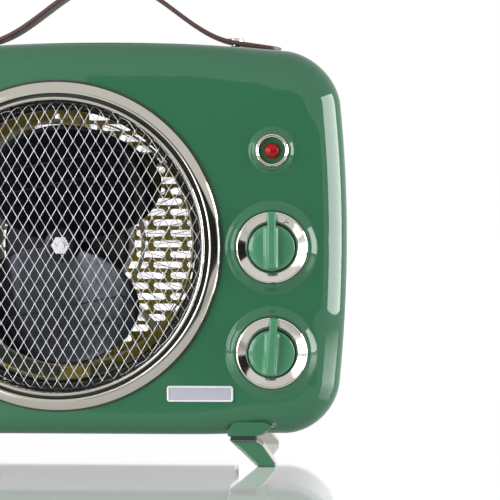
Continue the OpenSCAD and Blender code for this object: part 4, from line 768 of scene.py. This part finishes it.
# Pilot light
pilot = {"ring": [(8.85, -0.5), (9.5, -0.5), (9.5, 2.5), (11.4, 2.5), (11.3, 3.5), (10.5, 4.3), (9.9, 3.5), (9.2, 3.1),
                  (8.85, 2.4)], "ringSoft": 0.3,
         "lens": [(0.01, -4), (6.5, -4), (6.5, -2.5), (5.2, -2.5), (5.2, 0.6)], "domeR": 5.2, "domeHigh": 2.8,
         "ringSegments": 128, "lensSegments": 96}
ring = revolve(softCorners(pilot["ring"], pilot["ringSoft"]), lamp, pilot["ringSegments"])
makePiece("lampRing", [ring], mats["chrome"], replaces=["lamp_ring"], sharp=60)
t = np.radians(np.linspace(6, 89, 12))
dome = np.column_stack([pilot["domeR"] * np.cos(t), pilot["lens"][-1][1] + pilot["domeHigh"] * np.sin(t)])
lens = revolve(np.vstack([pilot["lens"], dome]), lamp, pilot["lensSegments"], False)
makePiece("lampLens", [lens], mats["red_lens"], replaces=["lamp_lens"], sharp=50)

# Badge: a bare sunk plate in a raised rounded rim, each as rings (inset, w)
badgeForm = {"halfU": 22.9, "halfV": 5.55, "cornerR": 2.0, "leastR": 0.15, "cornerSteps": 8,
             "rim": [(0, 0.1), (0, 0.9), (0.12, 1.4), (0.4, 1.7), (0.8, 1.8), (1.15, 1.7), (1.35, 1.45), (1.4, 1.1),
                     (1.4, 0.1)],
             "plate": [(1.4, 0.1), (1.4, 0.95), (1.5, 1.1), (2, 1.1)]}


def badgeRings(rows):
    # a rounded rectangle's corners are arcs about fixed centres, of radius cornerR - inset
    f = badgeForm
    a, b = f["halfU"] - f["cornerR"], f["halfV"] - f["cornerR"]
    rings = []
    for inset, w in rows:
        r = max(f["cornerR"] - inset, f["leastR"])
        arcs = [arcPoints((badge[0] + x, badge[1] + y), r, turn, turn + 90, f["cornerSteps"])
                for x, y, turn in ((a, b, 0), (-a, b, 90), (-a, -b, 180), (a, -b, 270))]
        rings.append(atHeight(np.vstack(arcs), w))
    return rings


makePiece("badgeRim", [ringStack(badgeRings(badgeForm["rim"]), wrapRows=True)], mats["badge_rim"],
          sharp=60)
rings = badgeRings(badgeForm["plate"])
makePiece("badgeFace", [(np.vstack(rings), cappedFaces(len(rings), len(rings[0])))], mats["badge_silver"],
          replaces=["badge_plate"], sharp=50)
print("controls ready")

# Strap: leather, arched between its two studs, with round ends
strap = {"stud": 90.0, "end": 123.0, "level": 296.08, "arch": 45.0, "slope": 0.15, "thick": 2.8, "width": 22.0,
         "depth": 72.0, "endR": 13.2, "leastHalf": 0.9, "soft": 0.75, "softSteps": 5,
         "even": (-116, 116, 233), "tips": [118, 120, 121.3, 122.2, 122.7, 122.95]}  # stations along it


def strapLine(x):
    # level + arch/2 (1 + cos(pi t)) + slope stud (1 - t) min(t, 1)^2, with t = |x| / stud
    t = np.abs(x) / strap["stud"]
    arch = np.where(t < 1, strap["arch"] / 2 * (1 + np.cos(np.pi * np.minimum(t, 1))), 0)
    return strap["level"] + strap["slope"] * strap["stud"] * (1 - t) * np.minimum(t, 1) ** 2 + arch


tips = np.array(strap["tips"])
x = np.concatenate([-tips[::-1], np.linspace(*strap["even"]), tips])
z = strapLine(x)
slope = (strapLine(x + 0.1) - strapLine(x - 0.1)) / 0.2
normal = np.column_stack([-slope, np.ones_like(slope)]) / np.sqrt(1 + slope ** 2)[:, None]
past = np.clip(np.abs(x) - (strap["end"] - strap["endR"]), 0, strap["endR"])
halfWide = np.minimum(strap["width"] / 2, np.sqrt(np.clip(strap["endR"] ** 2 - past ** 2, 0.2, None)))
halfWide = np.maximum(halfWide, strap["leastHalf"])[:, None]
# four soft corners round each section
t, e = strap["thick"] / 2, strap["soft"]
corner = arcPoints((0, 0), 1, 0, 90, strap["softSteps"])
across, up = [], []
for sx, sy in ((1, 1), (-1, 1), (-1, -1), (1, -1)):
    arc = corner if sx == sy else corner[::-1]
    across.append(sx * (halfWide - e + e * arc[:, 0]))
    up.append(sy * (t - e + e * arc[:, 1]))
across, up = np.hstack(across), np.concatenate(up)
points = np.stack([x[:, None] + up * normal[:, :1], z[:, None] + up * normal[:, 1:], across - strap["depth"]], -1)

leatherLook = {"pores": 900.0, "creases": 160.0, "wear": 22.0, "dark": (0.034, 0.013, 0.0095, 1),
               "worn": (0.066, 0.027, 0.02, 1), "ramp": (0.3, 0.75), "relief": 0.45, "reliefDepth": 0.0002,
               "rough": (0.38, 0.62), "sheen": 0.04}
leather = bpy.data.materials.new("strapLeather")
leather.use_nodes = True
tree = leather.node_tree
shader = tree.nodes["Principled BSDF"]
place = addNode(tree, "ShaderNodeTexCoord").outputs["Object"]
pores = addNode(tree, "ShaderNodeTexVoronoi", {"Vector": place, "Scale": leatherLook["pores"]},
                feature="DISTANCE_TO_EDGE")
creases = addNode(tree, "ShaderNodeTexNoise", {"Vector": place, "Scale": leatherLook["creases"], "Detail": 6.0,
                                               "Roughness": 0.6})
wear = addNode(tree, "ShaderNodeTexNoise", {"Vector": place, "Scale": leatherLook["wear"], "Detail": 4.0})
brown = addNode(tree, "ShaderNodeValToRGB", {"Fac": wear.outputs["Fac"]})
for stop, at, color in zip(brown.color_ramp.elements, leatherLook["ramp"], (leatherLook["dark"], leatherLook["worn"])):
    stop.position, stop.color = at, color
tree.links.new(brown.outputs["Color"], shader.inputs["Base Color"])
grain = addNode(tree, "ShaderNodeMath", {0: pores.outputs["Distance"], 1: creases.outputs["Fac"]}, operation="ADD")
relief = addNode(tree, "ShaderNodeBump", {"Height": grain.outputs[0], "Strength": leatherLook["relief"],
                                          "Distance": leatherLook["reliefDepth"]})
tree.links.new(relief.outputs["Normal"], shader.inputs["Normal"])
satin = addNode(tree, "ShaderNodeMapRange", {"Value": creases.outputs["Fac"], "To Min": leatherLook["rough"][0],
                                             "To Max": leatherLook["rough"][1]})
tree.links.new(satin.outputs["Result"], shader.inputs["Roughness"])
shader.inputs["Sheen Weight"].default_value = leatherLook["sheen"]
makePiece("handleStrap", [(points.reshape(-1, 3), cappedFaces(*points.shape[:2]))], leather,
          replaces=["handle_strap"], sharp=60)
print("strap ready")

# CAD pieces that stay get the small rounded edges that real ones have
softEdges = {"front_left_foot": 0.45, "front_right_foot": 0.45, "rear_left_foot": 0.45, "rear_right_foot": 0.45,
             "motor_bracket": 0.3, "motor_coil": 1.2, "terminal_block": 0.6,
             "selector_switch": 0.4, "thermostat_body": 0.5, "thermal_cutout": 0.2, "strap_studs": 0.3}
for label, width in softEdges.items():
    softenEdges(nodes[label], width, segments=3, angle=30)

# Stage: a pale glossy table top, white behind, and soft boxes. All from here on is in metres.
table = {"corners": [(-3, -1.2, 0), (0.95, -1.2, 0), (0.95, 4, 0), (-3, 4, 0)], "color": (0.62, 0.625, 0.63, 1),
         "glow": 1.17, "glowShare": (0.8, 1.0), "mirroredShare": 0.45, "polish": (1.75, 0.0), "polishRough": 0.06,
         "ior": 1.5, "fade": (0.42, 0.8)}  # the shares change over these distances from the middle


def stageMesh(name, points, faces, material):
    # a board of the studio, which isn't part of the object
    mesh = bpy.data.meshes.new(name)
    mesh.from_pydata(points, [], faces)
    mesh.materials.append(material)
    board = bpy.data.objects.new(name, mesh)
    bpy.context.scene.collection.objects.link(board)
    return board


def mathNode(tree, operation, *values, clamp=False):
    # the result of one operation on values or sockets
    return addNode(tree, "ShaderNodeMath", dict(enumerate(values)), operation=operation, use_clamp=clamp).outputs[0]


def fading(tree, away, values):
    # the first value near the object, the second far from it
    near, far = table["fade"]
    return addNode(tree, "ShaderNodeMapRange", {"Value": away, "From Min": near, "From Max": far,
                                                "To Min": values[0], "To Max": values[1]}).outputs["Result"]


tableTop = bpy.data.materials.new("tableTop")
tableTop.use_nodes = True
tree = tableTop.node_tree
tree.nodes.remove(tree.nodes["Principled BSDF"])
matt = addNode(tree, "ShaderNodeBsdfDiffuse", {"Color": table["color"]})
glow = addNode(tree, "ShaderNodeEmission", {"Color": (1, 1, 1, 1), "Strength": table["glow"]})
rays = addNode(tree, "ShaderNodeLightPath")
place = addNode(tree, "ShaderNodeTexCoord")
away = addNode(tree, "ShaderNodeVectorMath", {0: place.outputs["Object"]}, operation="LENGTH").outputs["Value"]
direct = mathNode(tree, "MULTIPLY", rays.outputs["Is Camera Ray"], fading(tree, away, table["glowShare"]))
share = mathNode(tree, "MULTIPLY_ADD", rays.outputs["Is Glossy Ray"], table["mirroredShare"], direct)
ground = addNode(tree, "ShaderNodeMixShader", {0: share, 1: matt.outputs[0], 2: glow.outputs[0]})
gloss = addNode(tree, "ShaderNodeBsdfGlossy", {"Color": (1, 1, 1, 1), "Roughness": table["polishRough"]})
fresnel = addNode(tree, "ShaderNodeFresnel", {"IOR": table["ior"]})
mirror = mathNode(tree, "MULTIPLY", fresnel.outputs[0], fading(tree, away, table["polish"]), clamp=True)
mixed = addNode(tree, "ShaderNodeMixShader", {0: mirror, 1: ground.outputs[0], 2: gloss.outputs[0]})
tree.links.new(mixed.outputs[0], tree.nodes["Material Output"].inputs["Surface"])
stageMesh("tableTop", table["corners"], [[0, 1, 2, 3]], tableTop)

# A low dark wall curves round the front with some dark ground before it, as the unlit end of a studio does
dark = {"middle": (0.12, -0.0675), "turns": (-12, 45, 29), "nearLeft": 0.42, "nearRight": 1.0, "rightFrom": 10,
        "radius": 1.55, "lift": 0.003, "high": 0.35, "color": (0.006, 0.006, 0.007, 1), "rough": 0.9}
darkBoard = bpy.data.materials.new("darkBoard")
darkBoard.use_nodes = True
darkBoard.node_tree.nodes["Principled BSDF"].inputs["Base Color"].default_value = dark["color"]
darkBoard.node_tree.nodes["Principled BSDF"].inputs["Roughness"].default_value = dark["rough"]
turn = np.linspace(*dark["turns"])
near = np.where(turn < dark["rightFrom"], dark["nearLeft"], dark["nearRight"])
r = np.column_stack([near, np.full((len(turn), 2), dark["radius"])])
a = np.radians(turn)[:, None]
z = np.broadcast_to([dark["lift"], dark["lift"], dark["high"]], r.shape)
points = np.stack([dark["middle"][0] + r * np.sin(a), dark["middle"][1] - r * np.cos(a), z], -1).reshape(-1, 3)
darkWall = stageMesh("darkWall", points.tolist(), gridFaces(len(turn), 3, wrapCols=False).tolist(), darkBoard)
darkWall.visible_camera = darkWall.visible_diffuse = darkWall.visible_shadow = False

# White to the camera and in mirrors and glass, a faint blue fill to everything else
sky = {"fill": (0.95, 0.97, 1, 1), "fillStrength": 0.14, "white": (1, 1, 1, 1), "whiteStrength": 1.0}
world = bpy.data.worlds.new("studio")
bpy.context.scene.world = world
world.use_nodes = True
tree = world.node_tree
tree.nodes.clear()
rays = addNode(tree, "ShaderNodeLightPath")
seen = mathNode(tree, "ADD", rays.outputs["Is Camera Ray"], rays.outputs["Is Transmission Ray"])
seen = mathNode(tree, "ADD", seen, rays.outputs["Is Glossy Ray"], clamp=True)
fill = addNode(tree, "ShaderNodeBackground", {"Color": sky["fill"], "Strength": sky["fillStrength"]})
white = addNode(tree, "ShaderNodeBackground", {"Color": sky["white"], "Strength": sky["whiteStrength"]})
mixed = addNode(tree, "ShaderNodeMixShader", {0: seen, 1: fill.outputs[0], 2: white.outputs[0]})
addNode(tree, "ShaderNodeOutputWorld", {"Surface": mixed.outputs[0]})

# name: place, aim, size, watts, and whether it is only seen mirrored in things or only lights their matt look
lights = {
    "key": ((-1.02, -1.23, 0.42), (-0.02, -0.0675, 0.15), (1.2, 0.8), 21, False),
    "keyCard": ((-1.0, -1.19, 0.4), (-0.02, -0.0675, 0.15), (1.2, 0.8), 5, True),
    "fanCard": ((-0.54, -1.44, 0.2), (-0.03, -0.03, 0.15), (0.37, 0.4), 3.3, True),
    "top": ((-0.3, -0.9, 1.9), (0, -0.1, 0.15), (1.6, 1.0), 9, False),
    "front": ((0.1, -2.0, 0.45), (0, 0, 0.15), (1.2, 0.8), 6, False),
    "right": ((1.3, -0.12, 0.28), (0.14, 0, 0.15), (1.0, 1.0), 19, False),
    "rightCard": ((1.34, -0.09, 0.345), (0.14, -0.07, 0.345), (1.2, 0.81), 32, True),
    "left": ((-1.3, -0.3, 0.4), (-0.05, -0.07, 0.36), (1.3, 0.75), 10, False),
    "leftCard": ((-1.25, -0.3, 0.38), (-0.05, -0.07, 0.36), (1.3, 0.75), 16, True),
    "back": ((0.45, 1.6, 0.8), (-0.02, 0.07, 0.15), (1.2, 0.9), 8, False),
}
for name, (place, aim, size, power, mirrored) in lights.items():
    light = bpy.data.lights.new(name, "AREA")
    light.shape, light.size, light.size_y, light.energy = "RECTANGLE", size[0], size[1], power
    box = bpy.data.objects.new(name, light)
    bpy.context.scene.collection.objects.link(box)
    box.location = place
    box.rotation_euler = (Vector(aim) - Vector(place)).to_track_quat("-Z", "Y").to_euler()
    box.visible_camera, box.visible_diffuse, box.visible_glossy = False, not mirrored, mirrored

# Camera: the photograph's distance and direction
view = {"place": (0.1444, -1.2675, 0.205), "aim": (0.1030, -0.0675, 0.1498), "lens": 126.2, "sensor": 36}
camData = bpy.data.cameras.new("camera")
camera = bpy.data.objects.new("camera", camData)
bpy.context.scene.collection.objects.link(camera)
bpy.context.scene.camera = camera
camData.sensor_width, camData.lens = view["sensor"], view["lens"]
camera.location = view["place"]
camera.rotation_euler = (Vector(view["aim"]) - camera.location).to_track_quat("-Z", "Y").to_euler()
bpy.context.scene.view_settings.view_transform = "Standard"
print("stage ready:", len(lights), "lights")
